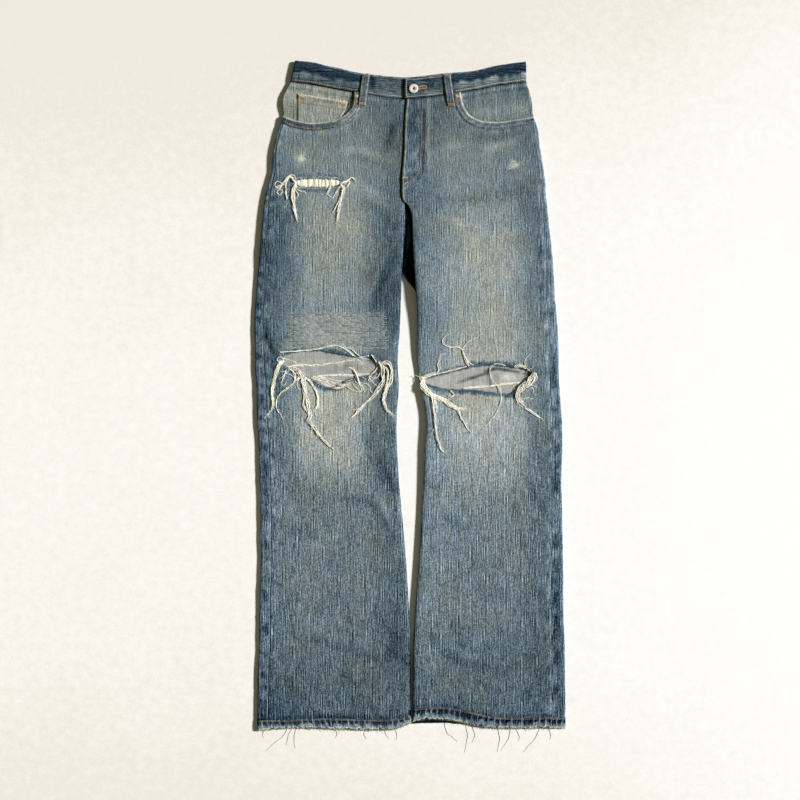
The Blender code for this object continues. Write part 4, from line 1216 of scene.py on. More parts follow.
def back(leg):
    """A back leg: it lies on the ground, and its wrapped edge shows beside the front. Its rows are
    close together where it shows through the holes."""
    rows = 232
    highest = 430.0
    lowest = -526.0
    level = np.r_[np.linspace(highest, lowest, rows), np.linspace(82.0, 0.0, 40)]
    shares = np.unique(np.clip((highest - level) / (highest - lowest), 0.0, 1.0))
    x, y, z, part = back_places(leg, lambda x: yoke_seam(x) - SEAM_GAP / 2,
                                lambda x: leg.hem["back_top"](x) + SEAM_GAP / 2,
                                CLOTH, LAYER_RISE, shares, 80, 7, 9)
    under = part == 0.0
    relief, shade = along_trails(INSIDE_TRAILS, x, y)
    z = z + np.where(under, np.maximum(relief, 0.0), 0.0)
    joined = 1.0 - 0.85 * ramp(y, 150, 215)
    z = z + ramp(part, 0.4, 1.0) * unevenness(leg, x, y) + joined * edge_lift(leg, x, y)
    strip = leg.tones["outer"](y) - 4.0
    strip += 16.0 * noise(x / 7.0, y / 19.0, 71) + 10.0 * noise(x / 3.0, y / 7.0, 72)
    strip += seam_beads(leg, x, y) + 12.0 * bell(x - leg.outer(y), 2.5)
    seat = 112.0 + 16.0 * bell(x - leg.side * 110.0, 80.0) + 6.0 * noise(x / 20.0, y / 30.0, 74)
    seat += 26.0 * bell(y - 20.0, 120.0) * bell(x - leg.side * 125.0, 80.0)
    tone = np.where(part > 0.0, strip, seat)
    warm = np.where(part > 0.0, -1.2 + 0.8 * noise(x / 8.0, y / 20.0, 75), 0.0)
    # Above the crotch the reverse, seen in the gap between the legs, is set almost black: painted shade.
    lining = mix(164.0 if leg is RIGHT else 172.0, 4.0, ramp(y, 96, 150)) + shade
    grain, along = fineness(y)
    marks = marks_of(tone, x, y, warm, grain, 0.0, lining, cloth=(x, along))
    faces = quads(len(shares), x.shape[1], flip=leg is RIGHT)
    return piece("back_leg_" + leg.name, points_of(x, y, z), faces, [DENIM, REVERSE],
                 [f"back_{leg.name}_panel"], marks, CLOTH)


def hem_looks(leg, x, t):
    """Roping of a turned-up hem: its relief and tone, from its seam (t = 0) to the leg's end (t = 1)."""
    twist = (x + 3.5 * t * leg.side + 1.6 * noise(x / 14.0, 0.5, 80)) / 4.6
    rope = noise(twist, 0.5, 81) + 0.55 * noise(twist * 2.1, t, 82)
    crest = ramp(np.cos(math.pi * twist) + 0.5 * rope, 0.45, 1.15)
    relief = 0.45 * (rope + crest - 0.4) * np.sin(math.pi * np.clip(t, 0.0, 1.0)) ** 0.5
    upper = 34.0 + 13.0 * noise(x / 6.0, t * 2.0, 83) + 100.0 * crest
    lower = 122.0 + 34.0 * rope + 20.0 * noise(x / 2.4, t * 4.0, 86)
    tone = mix(upper, lower, ramp(t + 0.14 * rope, 0.44, 0.66))
    clump = 66.0 * noise(x / 3.4, 0.5, 84) + 44.0 * noise(x / 9.0, 0.5, 87)
    tone += (46.0 + clump) * ramp(t, 0.78, 0.93)
    tone += 40.0 * bell(t - 0.03, 0.05) - 20.0 * bell(t - 0.14, 0.08)
    if leg is LEFT:
        tone -= 17.0
    return relief, tone


HEM_ROWS = np.r_[np.linspace(0.0, 0.86, 9), 0.92, 0.96, 0.985, 1.0]


def front_hem_places(leg, top_line, bottom_line):
    """The outer face of a front hem, up to its rounded inner edge."""
    columns = 190
    edge = np.array([0.8, 0.6, 0.4, 0.22, 0.08, 0.0]) * INNER_ROUNDING
    t = repeated(HEM_ROWS, columns + len(edge))
    y = mix(-525.0, -540.0, t)
    for _ in range(SETTLING_ROUNDS):
        x = between_seams(leg, y, columns, INNER_ROUNDING, edge)
        y = mix(top_line(x), bottom_line(x), t)
    lowest = HEM_CLOTH + SEAM_GAP + (HEM_CLOTH - CLOTH) / 2
    return x, y, front_height(leg, x, y, lowest) + HEM_CLOTH / 2, np.ones(x.shape)


def hem(leg, is_front):
    """A hem between the seam and the leg's end; a back one wraps the outer fold."""
    name = "front" if is_front else "back"
    worn_off = 1.3 if is_front else 0.2
    raggedness = 1.3 if is_front else 0.4

    def top_line(x):
        return leg.hem[name + "_top"](x) - SEAM_GAP / 2

    def bottom_line(x):
        wear = noise(x / 4.2, 0.5, 88) + 0.8 * noise(x / 2.0, 0.5, 89)
        return leg.hem[name + "_bottom"](x) + worn_off + raggedness * wear

    if is_front:
        x, y, z, part = front_hem_places(leg, top_line, bottom_line)
    else:
        x, y, z, part = back_places(leg, top_line, bottom_line, HEM_CLOTH,
                                    LAYER_RISE - (HEM_CLOTH - CLOTH) / 2, HEM_ROWS, 90, 8, 12)
    t = repeated(HEM_ROWS, x.shape[1])
    relief, tone = hem_looks(leg, x, t)
    turned = edge_drop(np.abs(bottom_line(x) - y), 1.6)
    z = z + ramp(part, 0.5, 1.0) * (relief - turned) + edge_lift(leg, x, y)
    warm = 1.5 * ramp(tone, 90, 150) - 0.9 + 0.5 * noise(x / 9.0, t, 85)
    # The reverse is set almost black, painted shade where it shows under the front hem's edge, and a little
    # paler at the leg's end.
    lining = 4.0 + 30.0 * ramp(t, 0.95, 0.99)
    marks = marks_of(tone, x, y, warm, 0.7, 0.0, lining)
    faces = quads(len(HEM_ROWS), x.shape[1], flip=leg is RIGHT)
    return piece(f"turned_hem_{name}_{leg.name}", points_of(x, y, z), faces, [DENIM, REVERSE],
                 [f"hem_{name}_{leg.name}"], marks, HEM_CLOTH)


# ------------------------------------------------------------------ the waist
def band_looks(x, t):
    """Relief, tone and warmth of the front of the waistband."""
    high = waist_top(x) - waist_seam(x)
    up = t * high
    cloud = noise(x / 9.0, t * 2.0, 91) + 0.6 * noise(x / 3.6, t * 4.0, 92)
    dark_from = 0.47 + 0.08 * bell(np.abs(x) - 90.0, 30.0) + 0.07 * cloud
    outside = np.maximum(ramp(-x, 66, 82), ramp(x, 62, 74))
    dark = ramp(t, dark_from - 0.09, dark_from + 0.07)
    streak = noise(x / 16.0, t * 9.0, 93)
    low = mix(84.0, 110.0, ramp(x, 66, 100)) + 8.0 * streak + 22.0 * cloud - 6.0 * ramp(-x, 150, 190)
    low = low + 9.0 * noise(x / 2.4, t * 8.0, 94)
    top = 35.0 + 5.0 * noise(x / 8.0, t * 5.0, 95) + 16.0 * bell(t - 0.88, 0.12)
    sides = mix(low, top, dark) + 16.0 * bell(t - dark_from + 0.10, 0.06) * (0.8 + 0.8 * cloud)
    centre = 84.0 + 13.0 * streak + 22.0 * noise(x / 6.0, t * 7.0, 97) - 14.0 * ramp(t, 0.45, 0.8)
    centre += 22.0 * bell(t - 0.16, 0.10)
    tab = 54.0 + 12.0 * streak + 28.0 * noise(x / 5.0, t * 5.0, 98) + 46.0 * bell(t - 0.16, 0.12)
    tab += 24.0 * bell(x - 45.0, 8.0) * bell(t - 0.55, 0.2) - 22.0 * bell(x - 33.0, 9.0) * bell(t - 0.75, 0.2)
    on_tab = ramp(x, TAB_EDGE - 3.0, TAB_EDGE) * (1.0 - ramp(x, 40, 58))
    tone = mix(mix(centre, tab, on_tab), sides, outside)
    tone = mix(tone, 28.0, bell(x + 60.0, 5.0) * ramp(t, 0.3, 0.5))
    tone += (58.0 + 70.0 * noise(x / 3.0, 0.5, 99)) * ramp(t, 0.95, 0.985)
    tone -= 30.0 * bell(up - 4.7, 1.0) * (0.8 + 0.4 * noise(x / 4.0, 0.5, 100))
    tone -= 18.0 * bell(up - 1.0, 1.0)
    warm = mix(0.5, -1.6, dark * outside) + 0.4 * streak - 0.5 * on_tab
    relief = 0.24 * cloud + 0.18 * noise(x / 16.0, t * 2.0, 102)
    relief -= 0.5 * bell(up - 3.2, 1.3) + 0.2 * bell(np.abs(up - high) - 3.0, 1.0)
    return relief, tone, warm


def band_place(x, t, back_rise):
    """The y of a waistband point a share t up from its seam, and its x, as the right end leans in."""
    lean = BAND_END_SLANT * t * (1.0 - ramp(x, -193, -120))
    away_from_sides = 1.0 - ramp(np.abs(x), 110, 150)
    top = waist_top(x) + back_rise * away_from_sides
    return x + lean, mix(waist_seam(x), top, t)


BAND_T = np.r_[0.0, 0.012, 0.03, 0.055, np.linspace(0.09, 0.91, 18), 0.945, 0.97, 0.988, 1.0]


def band_piece(name, xs, levels, outward, back_rise=0.0, is_back=False):
    """A length of waistband along (x, level) places, with its face a half thickness outward."""
    half = BAND_CLOTH / 2
    t = repeated(BAND_T, len(xs))
    base_x = np.broadcast_to(xs, t.shape)
    x, y = band_place(base_x, t, back_rise)
    relief, tone, warm = band_looks(base_x, t)
    high = waist_top(base_x) + back_rise - waist_seam(base_x)
    out_x, out_z = np.asarray(outward).T
    push = half + relief - 1.1 * edge_drop(np.minimum((1.0 - t) * high, t * high), 1.8)
    push = np.where(out_z < 0.3, np.minimum(push, half), push)
    x = x + push * out_x
    z = levels + push * out_z
    if is_back:
        worn_edge = 134.0 + 50.0 * noise(base_x / 3.0, t * 9.0, 103)
        inside = mix(60.0, worn_edge, ramp(t, 0.86, 0.93))
        tone = np.where(out_z < 0.3, inside, tone)
    lining = 92.0 + 30.0 * noise(x / 7.0, y / 3.0, 104)
    marks = marks_of(tone, x, y, warm, 0.5, 0.0, lining, cloth=(y, 1.4 * x))
    faces = quads(len(BAND_T), len(xs), flip=is_back)
    return piece("band_" + name, points_of(x, y, z), faces, [DENIM, REVERSE],
                 ["waistband_" + name], marks, BAND_CLOTH)


def waistbands():
    """The back length, which turns over both side folds, and the two front lengths."""
    half = BAND_CLOTH / 2
    rise = FRONT_BAND_LEVEL - BACK_BAND_LEVEL
    radius = rise / 2
    reach = radius + half
    right_axis = WAIST[0].x + reach
    left_axis = WAIST[-1].x - reach
    wrap = 8.0
    middle = BACK_BAND_LEVEL + radius
    places = [(x, FRONT_BAND_LEVEL, 0.0, 1.0) for x in np.linspace(right_axis + wrap, right_axis, 5)]
    for a in np.linspace(0.0, math.pi, 9)[1:]:
        places.append((right_axis - radius * math.sin(a), middle + radius * math.cos(a),
                       -math.sin(a), math.cos(a)))
    places += [(x, BACK_BAND_LEVEL, 0.0, -1.0) for x in np.linspace(right_axis, left_axis, 120)[1:-1]]
    for a in np.linspace(0.0, math.pi, 9):
        places.append((left_axis + radius * math.sin(a), middle - radius * math.cos(a),
                       math.sin(a), -math.cos(a)))
    places += [(x, FRONT_BAND_LEVEL, 0.0, 1.0) for x in np.linspace(left_axis, left_axis - wrap, 5)[1:]]
    places = np.array(places)
    behind = band_piece("back", places[:, 0], places[:, 1], places[:, 2:], BACK_BAND_RISE, is_back=True)
    xs = np.linspace(right_axis + wrap - 0.2, STAND_END, 132)
    right = band_piece("front_right", xs, FRONT_BAND_LEVEL, [(0.0, 1.0)] * len(xs))
    xs = np.linspace(TAB_EDGE, left_axis - wrap + 0.2, 118)
    levels = FRONT_BAND_LEVEL + TAB_LIFT * (1.0 - ramp(xs, 26, 50))
    left = band_piece("front_left", xs, levels, [(0.0, 1.0)] * len(xs))
    return [behind, right, left]


def flat_cloth(name, outline, level, looks, nodes, step=2.5, face_up=True, rounding=0.5):
    """A flat piece: a grid trimmed to an outline. level is its face's height, where it has no relief;
    looks(x, y, away) gives its relief, tone and warmth, away being the distance to its edge."""
    outline = np.asarray(outline, float)
    low = outline.min(0) - step
    high = outline.max(0) + step
    xs = np.arange(low[0], high[0] + step, step)
    ys = np.arange(high[1], low[1] - step, -step)
    x, y = np.meshgrid(xs, ys)
    faces = quads(len(ys), len(xs), flip=face_up)
    x, y, faces = trimmed(x.ravel(), y.ravel(), faces, outline, inside=True)
    (x, y), faces = used_only([x, y], faces)
    away = -to_outline(x, y, outline)[0]
    relief, tone, warm = looks(x, y, away)
    relief = relief - rounding * (1.0 - ramp(away, -0.5, 2.0))
    z = level + relief * (1.0 if face_up else 0.0)
    marks = marks_of(tone, x, y, warm, 0.62, 0.0, 160.0, cloth=(x, 1.6 * y))
    return piece(name, points_of(x, y, z), faces, [DENIM, REVERSE], nodes, marks, CLOTH)


def facing_outline(leg):
    """As in the CAD: from the waistband's seam to below the mouth."""
    depth = 17.0
    side_x = float(leg.outer_fold(508))
    inside_x = leg.mouth[0][0] - leg.side * depth
    top = [(x, waist_seam(x) - SEAM_GAP / 2) for x in np.linspace(inside_x, side_x, 17)]
    fold = [(float(leg.outer(y)), y) for y in np.linspace(500, 447.5, 14)]
    behind = [(float(leg.outer(y)) - leg.side * 8.0, y) for y in (446.5, 432)]
    lower = [(x - leg.side * depth * 0.6, y - depth) for x, y in leg.mouth[1:-1]][::-1]
    return top + fold + behind + lower


def facing_looks(leg):
    """The facing in a pocket's mouth: puckered, with painted shade right below the band, and paler further
    down; on the right, painted shadow by the mouth's edge and in the gap between the coin pocket and the
    mouth's lip.
    """
    def looks(x, y, away):
        below = waist_seam(x) - y
        relief = 0.35 * noise(x / 8.0, y / 16.0, 111) + 0.4 * noise(x / 20.0, y / 30.0, 112)
        relief += 0.35 * noise(x / 5.0, 0.5, 113) * bell(below - 7.0, 5.0)
        if leg is RIGHT:
            relief += 1.8 * bell(x + 204.0, 20.0) * ramp(y, 452, 472)
            tone = 140.0 + 12.0 * noise(x / 10.0, y / 20.0, 114) + 12.0 * bell(below - 22.0, 12.0)
            tone -= 30.0 * bell(x + 186.0, 9.0) * bell(y - 456.0, 16.0)
            # Painted shadow by the mouth's edge and in the narrow gap between the coin pocket and the mouth's
            # lip.
            tone -= 22.0 * bell(x + 84.0, 7.0) * bell(y - 470.0, 26.0)
            shadow_wedge = -92.5 + 0.6 * (y - 482.0)
            tone -= 90.0 * bell(x - shadow_wedge, 4.5) * ramp(y, 450, 468)
            warm = 2.0 + 0.9 * noise(x / 14.0, y / 12.0, 115)
        else:
            tone = 112.0 + 12.0 * noise(x / 10.0, y / 20.0, 116)
            tone += 26.0 * bell(x - 124.0, 30.0) * bell(y - 456.0, 14.0)
            tone += 16.0 * bell(x - 170.0, 26.0) * bell(y - 464.0, 9.0)
            tone -= 26.0 * bell(x - 186.0, 10.0) * bell(y - 497.0, 6.0)
            warm = 0.6 + 0.7 * noise(x / 14.0, y / 12.0, 117)
        pucker = noise(x / 3.6 + below / 12.0, 0.5, 118) + 0.5 * noise(x / 8.0, below / 10.0, 120)
        # The dark line right under the band's seam is painted shade.
        tone -= 52.0 * bell(below, 2.6) + 18.0 * bell(below - 10.5, 2.4)
        tone += 22.0 * pucker * bell(below - 8.0, 7.0) + 16.0 * bell(below - 5.2, 1.8)
        tone += 8.0 * noise(x / 2.2, y / 5.0, 119)
        relief += 0.35 * pucker * bell(below - 8.0, 6.0)
        return relief, tone, warm
    return looks


COIN_POCKET = [(-181.5, 488.5), (-100.0, 475.5), (-103.0, 463.0), (-112.0, 447.0), (-124.0, 434.0),
               (-181.0, 432.0)]


def coin_looks(x, y, away):
    """The coin pocket: a double hem at its top, worn pale along its edges."""
    below = 488.5 - 0.16 * (x + 181.5) - y
    relief = 0.25 * noise(x / 7.0, y / 12.0, 121)
    relief += 0.3 * bell(below - 5.0, 4.0) - 0.4 * bell(below - 12.0, 1.6)
    tone = 148.0 + 10.0 * noise(x / 9.0, y / 14.0, 122) + 7.0 * noise(x / 3.0, y / 9.0, 123)
    tone -= (16.0 + 30.0 * noise(x / 6.0, below / 3.0, 124)) * bell(below - 5.5, 3.4)
    # A painted shadow line in the groove under the hem's lower edge.
    tone -= 40.0 * bell(below - 13.4, 1.2)
    tone += 24.0 * bell(below - 11.6, 1.4) * (0.7 + 0.6 * noise(x / 4.0, 0.5, 125))
    tone += 40.0 * bell(below, 2.2) + 30.0 * bell(away, 1.6) * (0.7 + 0.7 * noise(x / 3.0, y / 4.0, 126))
    tone -= 34.0 * bell(away - 3.2, 1.2) * ramp(below, 12.0, 16.0)
    return relief, tone, 2.0 + 0.6 * noise(x / 10.0, y / 10.0, 127)


def plain_looks(base, seed):
    """Hidden pieces: evenly worn denim, a little paler along the edge."""
    def looks(x, y, away):
        tone = base + 10.0 * noise(x / 12.0, y / 18.0, seed)
        tone += 26.0 * bell(away, 2.0) - 14.0 * bell(away - 5.0, 2.0)
        return np.zeros(x.shape), tone, np.zeros(x.shape)
    return looks


def yoke_outline(leg):
    """Half of the back yoke, from the waistband's seam down to its own."""
    middle = float(centre_back(460)) + leg.side * SEAM_GAP / 2
    top = [(x, waist_seam(x) - SEAM_GAP / 2) for x in np.linspace(middle, float(leg.outer(508)), 25)]
    fold = [(float(leg.outer(y)), y) for y in (502, 496, 489, 482, 474, 466, 458)]
    bottom = [(x, yoke_seam(x) + SEAM_GAP / 2) for x in np.linspace(float(leg.outer(452)), middle, 25)]
    return top + fold + bottom


def seat_pocket_outline(centre):
    """A patch pocket with a pointed foot."""
    return [(centre - 76.0, 408.0), (centre - 70.0, 268.0), (centre, 250.0), (centre + 70.0, 268.0),
            (centre + 76.0, 408.0)]


Loop = namedtuple("Loop", "name top bottom")
FRONT_LOOPS = [
    Loop("front_right", (-70.0, 520.5), (-77.0, 468.5)),
    Loop("front_left", (60.0, 520.5), (67.5, 467.5)),
]


def loop(row):
    """A belt loop that stands on the band, with folded edges and its ends turned in."""
    rows = 36
    across = np.array([-1.0, -0.985, -0.94, -0.86, -0.72, -0.5, -0.25, 0.0, 0.25, 0.5, 0.72, 0.86, 0.94,
                       0.985, 1.0])[None, :]
    t = np.linspace(0.0, 1.0, rows)[:, None]
    half = 0.5 * LOOP_WIDTH * (1.0 + 0.03 * noise(t * 9.0, 0.5, 131))
    x = mix(row.top[0], row.bottom[0], t) + half * across
    y = mix(row.top[1], row.bottom[1], t)
    level = FRONT_BAND_LEVEL + BAND_CLOTH / 2 + 0.4 + CLOTH
    end = np.minimum(t, 1.0 - t) * LOOP_LENGTH
    z = level + 1.5 * np.sin(math.pi * t) ** 0.6 - 0.9 * (1.0 - ramp(end, 0.0, 2.0))
    z = z - 0.9 * edge_drop(1.0 - np.abs(across), 0.28)
    z = z - 0.25 * bell(np.abs(across) - 0.55, 0.14) + 0.12 * noise(t * 22.0, across * 1.5, 132)
    blotch = noise(t * 11.0, across * 1.2, 133) + 0.8 * noise(t * 26.0, across * 2.0, 134)
    tone = 78.0 + 20.0 * blotch + 20.0 * bell(t - 0.6, 0.22)
    edge = ramp(np.abs(across) + 0.10 * noise(t * 30.0, across, 135), 0.60, 0.84)
    tone = mix(tone, 166.0 + 26.0 * noise(t * 40.0, across, 136), edge * (0.75 + 0.3 * blotch))
    tone = mix(tone, 192.0, 0.8 * (1.0 - ramp(end, 0.6, 3.0)))
    marks = marks_of(tone, x, y, mix(-0.4, 2.6, edge), 0.5)
    faces = quads(rows, across.shape[1], flip=True)
    return piece("loop_" + row.name, points_of(x, y, z), faces, [DENIM, REVERSE],
                 ["belt_loop_" + row.name], marks, CLOTH)


def back_loop(name, x):
    """A plain belt loop at the back."""
    half = LOOP_WIDTH / 2
    top = float(waist_top(x)) + 1.0
    foot = top - LOOP_LENGTH
    box = [(x - half, foot), (x + half, foot), (x + half, top), (x - half, top)]
    return flat_cloth("loop_back_" + name, box, 0.0, plain_looks(84.0, 166),
                      ["belt_loop_back_" + name], 2.5, face_up=False)


def mouth_band(leg):
    """The turned and stitched edge of a pocket's mouth, which stands on the front panel."""
    step = 2.0
    path = resampled(leg.mouth_line, step)
    normal = sideways(path) * -leg.side
    across = np.array([-0.9, -0.8, -0.4, 0.3, 1.2, 2.4, 4.0, 5.6, 7.2, 8.4, 9.6, 10.6, 11.2, 11.5])[None, :]
    rise = np.array([-1.4, -0.5, 0.25, 0.8, 1.1, 1.2, 1.15, 1.1, 0.95, 0.55, 0.95, 0.8, 0.3, -0.3])[None, :]
    x = path[:, :1] + normal[:, :1] * across
    y = path[:, 1:] + normal[:, 1:] * across
    y = np.minimum(y, waist_seam(x) - 0.2)
    to_fold = np.maximum(leg.side * (leg.outer(y) - x), 0.6)
    x = leg.outer(y) - leg.side * to_fold
    at = (step * np.arange(len(path)))[:, None]
    z = front_top(leg, x, y) + rise + 0.25 * noise(at / 5.0 + across / 6.0, 0.5, 141 + leg.side)
    z = z - 3.4 * edge_drop(to_fold, 4.0)
    rope = noise(at / 3.6 + across / 6.0, across / 7.0, 143 + leg.side)
    rope += 0.5 * noise(at / 1.7, across / 3.0, 144)
    low = ramp(at, 44, 78)
    lip = 1.0 - ramp(across + 0.7 * noise(at / 5.0, 0.5, 145), 0.9, 2.4)
    deep = 58.0 if leg is RIGHT else 84.0
    roping = 34.0 if leg is RIGHT else 38.0
    tone = mix(112.0, deep, low) + roping * rope + 34.0 * ramp(across, 4.6, 6.6)
    tone = mix(tone, 188.0 + 30.0 * noise(at / 6.0, 0.5, 147), 0.85 * lip)
    tone = tone - 44.0 * bell(across - 9.6, 1.1) + 34.0 * ramp(across, 10.4, 11.4)
    warm = 2.0 * lip - 1.8 * low * bell(across - 3.6, 2.2)
    marks = marks_of(tone, x, y, warm, 0.5, cloth=(at, across * 3.0))
    faces = quads(len(path), across.shape[1], flip=leg is RIGHT)
    return piece("mouth_band_" + leg.name, points_of(x, y, z), faces, [DENIM, REVERSE],
                 (), marks, TURNING)


def fly_edge():
    """The turned edge of the fly, worn pale, on the left front's inner edge."""
    rows = 110
    y = np.linspace(479.0, 312.0, rows)[:, None]
    edge = LEFT.inner(y)
    across = np.array([-0.6, -0.5, 0.0, 0.7, 1.5, 2.4, 3.2])[None, :]
    rise = np.array([-1.9, -0.8, 0.1, 0.7, 0.8, 0.5, -0.2])[None, :]
    x = edge + across
    z = front_top(LEFT, edge + 3.0, y) + rise + 0.2 * noise(y / 6.0, 0.5, 151)
    tone = 148.0 + 30.0 * noise(y / 5.0, 0.5, 152) + 16.0 * noise(y / 1.6, across, 153)
    tone = tone - 62.0 * ramp(across, 1.1, 2.2)
    marks = marks_of(tone, x, y, 1.4, 0.3)
    return piece("fly_edge_turning", points_of(x, y, z), quads(rows, across.shape[1], flip=True),
                 [DENIM, REVERSE], (), marks, TURNING)


def face_down(name, node, outline, level, tone, seed):
    """A hidden piece of the seat."""
    return flat_cloth(name, outline, level, plain_looks(tone, seed), [node], 4.0, face_up=False)


# ------------------------------------------------------------------ make the cloth
fronts = [front(leg) for leg in LEGS]
backs = [back(leg) for leg in LEGS]
hems = [hem(leg, is_front) for is_front in (True, False) for leg in LEGS]
bands = waistbands()
facings = [
    flat_cloth("facing_" + leg.name, facing_outline(leg), FACING_LEVEL + CLOTH / 2, facing_looks(leg),
               ["pocket_facing_" + leg.name], 2.0)
    for leg in LEGS
]
coin_level = FACING_LEVEL + CLOTH * 1.5 + SEAM_GAP + 0.3
coin_cloth = flat_cloth("coin_pocket_cloth", COIN_POCKET, coin_level, coin_looks,
                        ["coin_pocket"], 1.6, rounding=0.7)
mouth_bands = [mouth_band(leg) for leg in LEGS]
fly_turning = fly_edge()
face_down("yoke_cloth_right", "yoke_right", yoke_outline(RIGHT), SEAT_LIFT, 76.0, 161)
face_down("yoke_cloth_left", "yoke_left", yoke_outline(LEFT), SEAT_LIFT, 78.0, 162)
face_down("seat_pocket_right", "back_pocket_right", seat_pocket_outline(-106.0), 0.0, 100.0, 163)
face_down("seat_pocket_left", "back_pocket_left", seat_pocket_outline(100.0), 0.0, 98.0, 164)
shield_end = [(7.0 + 18.0 * math.cos(math.radians(a)), 358.0 + 18.0 * math.sin(math.radians(a)))
              for a in range(180, 361, 15)]
shield_top = [(x, waist_seam(x) - SEAM_GAP) for x in np.linspace(25.0, -11.0, 9)]
flat_cloth("fly_shield_cloth", shield_top + shield_end, FACING_LEVEL + CLOTH / 2, plain_looks(34.0, 165),
           ["fly_shield"], 4.0)
loops = [loop(row) for row in FRONT_LOOPS]
loops += [back_loop("right", -110.0), back_loop("centre", 0.0), back_loop("left", 108.0)]


# ------------------------------------------------------------------ what lies on the cloth
def surface_under(objects):
    """A tree of all these faces, to lay threads and stitches on."""
    corners = []
    faces = []
    for obj in objects:
        base = len(corners)
        corners.extend(v.co[:] for v in obj.data.vertices)
        faces.extend([base + i for i in f.vertices] for f in obj.data.polygons)
    return BVHTree.FromPolygons(corners, faces)


SURFACE = surface_under([*fronts, *backs, *hems, *bands, *facings, coin_cloth, *mouth_bands, fly_turning,
                         *loops])


def surface_height(x, y):
    """How high the topmost face is at a place, or 0 off the cloth."""
    hit = SURFACE.ray_cast(Vector((x * MM, y * MM, 0.1)), Vector((0.0, 0.0, -1.0)))[0]
    return hit.z / MM if hit else 0.0


def laid(path, lift, reach=1, sag=0.35):
    """A flat path laid on whatever is under it. It bridges hollows shorter than its reach, in points,
    and sinks into them by sag at each."""
    path = np.asarray(path, float)
    z = np.array([surface_height(px, py) for px, py in path])
    high = z.copy()
    for k in range(1, reach + 1):
        high[k:] = np.maximum(high[k:], z[:-k] - sag * k)
        high[:-k] = np.maximum(high[:-k], z[k:] - sag * k)
    if len(high) > 4:
        padded = np.r_[high[0], high, high[-1]]
        high = np.maximum(z, 0.25 * padded[:-2] + 0.5 * high + 0.25 * padded[2:])
    return np.column_stack([path, high + lift])


STITCH_PITCH = 3.3


def stitch_row(path, share=0.8, radius=0.46, seed=0):
    """Sewing stitches along a flat path, each sunk into the cloth at its ends."""
    path = resampled(path, STITCH_PITCH)
    made = []
    wander = 0.25 * noise(np.arange(len(path)) / 3.0, 0.5, 200 + seed)
    path = path + sideways(path) * wander[:, None]
    for a, b in zip(path[:-1], path[1:]):
        ends = np.array([mix(a, b, s) for s in (0.0, 0.2 * share, 0.5 * share, 0.8 * share, share)])
        lifts = radius * np.array([-0.9, 0.35, 0.6, 0.35, -0.9])
        made.append(laid(ends, 0.0) + np.column_stack([np.zeros((5, 2)), lifts]))
    return made, [radius * np.array([0.6, 1.0, 1.0, 1.0, 0.6])] * len(made)


def cord(path, radius, seed=0):
    """The rubbed edge of a seam: one long thread, half sunk, that comes and goes."""
    step = 2.2
    path = resampled(path, step)
    at = np.arange(len(path)) * step
    laid_path = laid(path, 0.0)
    laid_path[:, 2] += -0.25 + 0.4 * noise(at / 13.0, 0.5, 220 + seed)
    return [laid_path], [radius * (0.9 + 0.3 * noise(at / 6.0, 0.5, 230 + seed))]


def bartack(x, y, length, width, lean, seed=0):
    """A dense block of short stitches across its length."""
    lean = math.radians(lean)
    along = np.array([math.cos(lean), math.sin(lean)])
    across = np.array([-math.sin(lean), math.cos(lean)])
    made = []
    count = int(length / 0.75)
    for i in range(count):
        middle = np.array([x, y]) + along * length * ((i + 0.5) / count - 0.5)
        wide = width * (0.5 + 0.08 * float(noise(i / 1.3, 0.5, 210 + seed)))
        ends = np.array([middle + across * wide * s + along * 0.2 * s for s in (-1.0, -0.6, 0.0, 0.6, 1.0)])
        made.append(laid(ends, 0.0) + np.column_stack([np.zeros((5, 2)), [-0.3, 0.35, 0.55, 0.35, -0.3]]))
    return made, [np.array([0.3, 0.42, 0.42, 0.42, 0.3])] * len(made)


class Sewing:
    """Collects thin tubes and makes them into one piece."""

    def __init__(self, name, material, slot, sides=5):
        self.name = name
        self.material = material
        self.slot = slot
        self.sides = sides
        self.paths = []
        self.radii = []

    def add(self, made):
        """Take in some tubes: their paths and their radii."""
        self.paths += made[0]
        self.radii += made[1]

    def build(self):
        points, faces = tubes(self.paths, self.radii, self.sides)
        piece(self.name, points, faces, [self.material])


def offset(path, distance):
    """A path moved sideways."""
    path = np.asarray(path, float)
    return path + sideways(path) * distance


FLY_OUTER = rounded([(28, 479), (26, 414), (25, 390), (24, 369), (21, 355), (14.5, 346), (6, 340),
                     (-3, 336.5), (-9.5, 334.5)], False, 8)
FLY_INNER = rounded([(20.5, 479), (19, 414), (17.5, 390), (16.5, 371), (13.5, 360), (8, 352), (0, 347),
                     (-8.5, 344)], False, 8)
# Where a seam's edge has rubbed pale: from and to which height, and how far in from the seam.
SEAM_RUBS = {
    RIGHT: [(-24, -522, -1.0)],
    LEFT: [(322, 236, 1.5), (150, 40, -1.0), (-24, -522, -1.0)],
}
# Where an unfaded edge covers a seam: from and to which height.
SEAM_COVERS = {RIGHT: (310, 30), LEFT: (230, 150)}


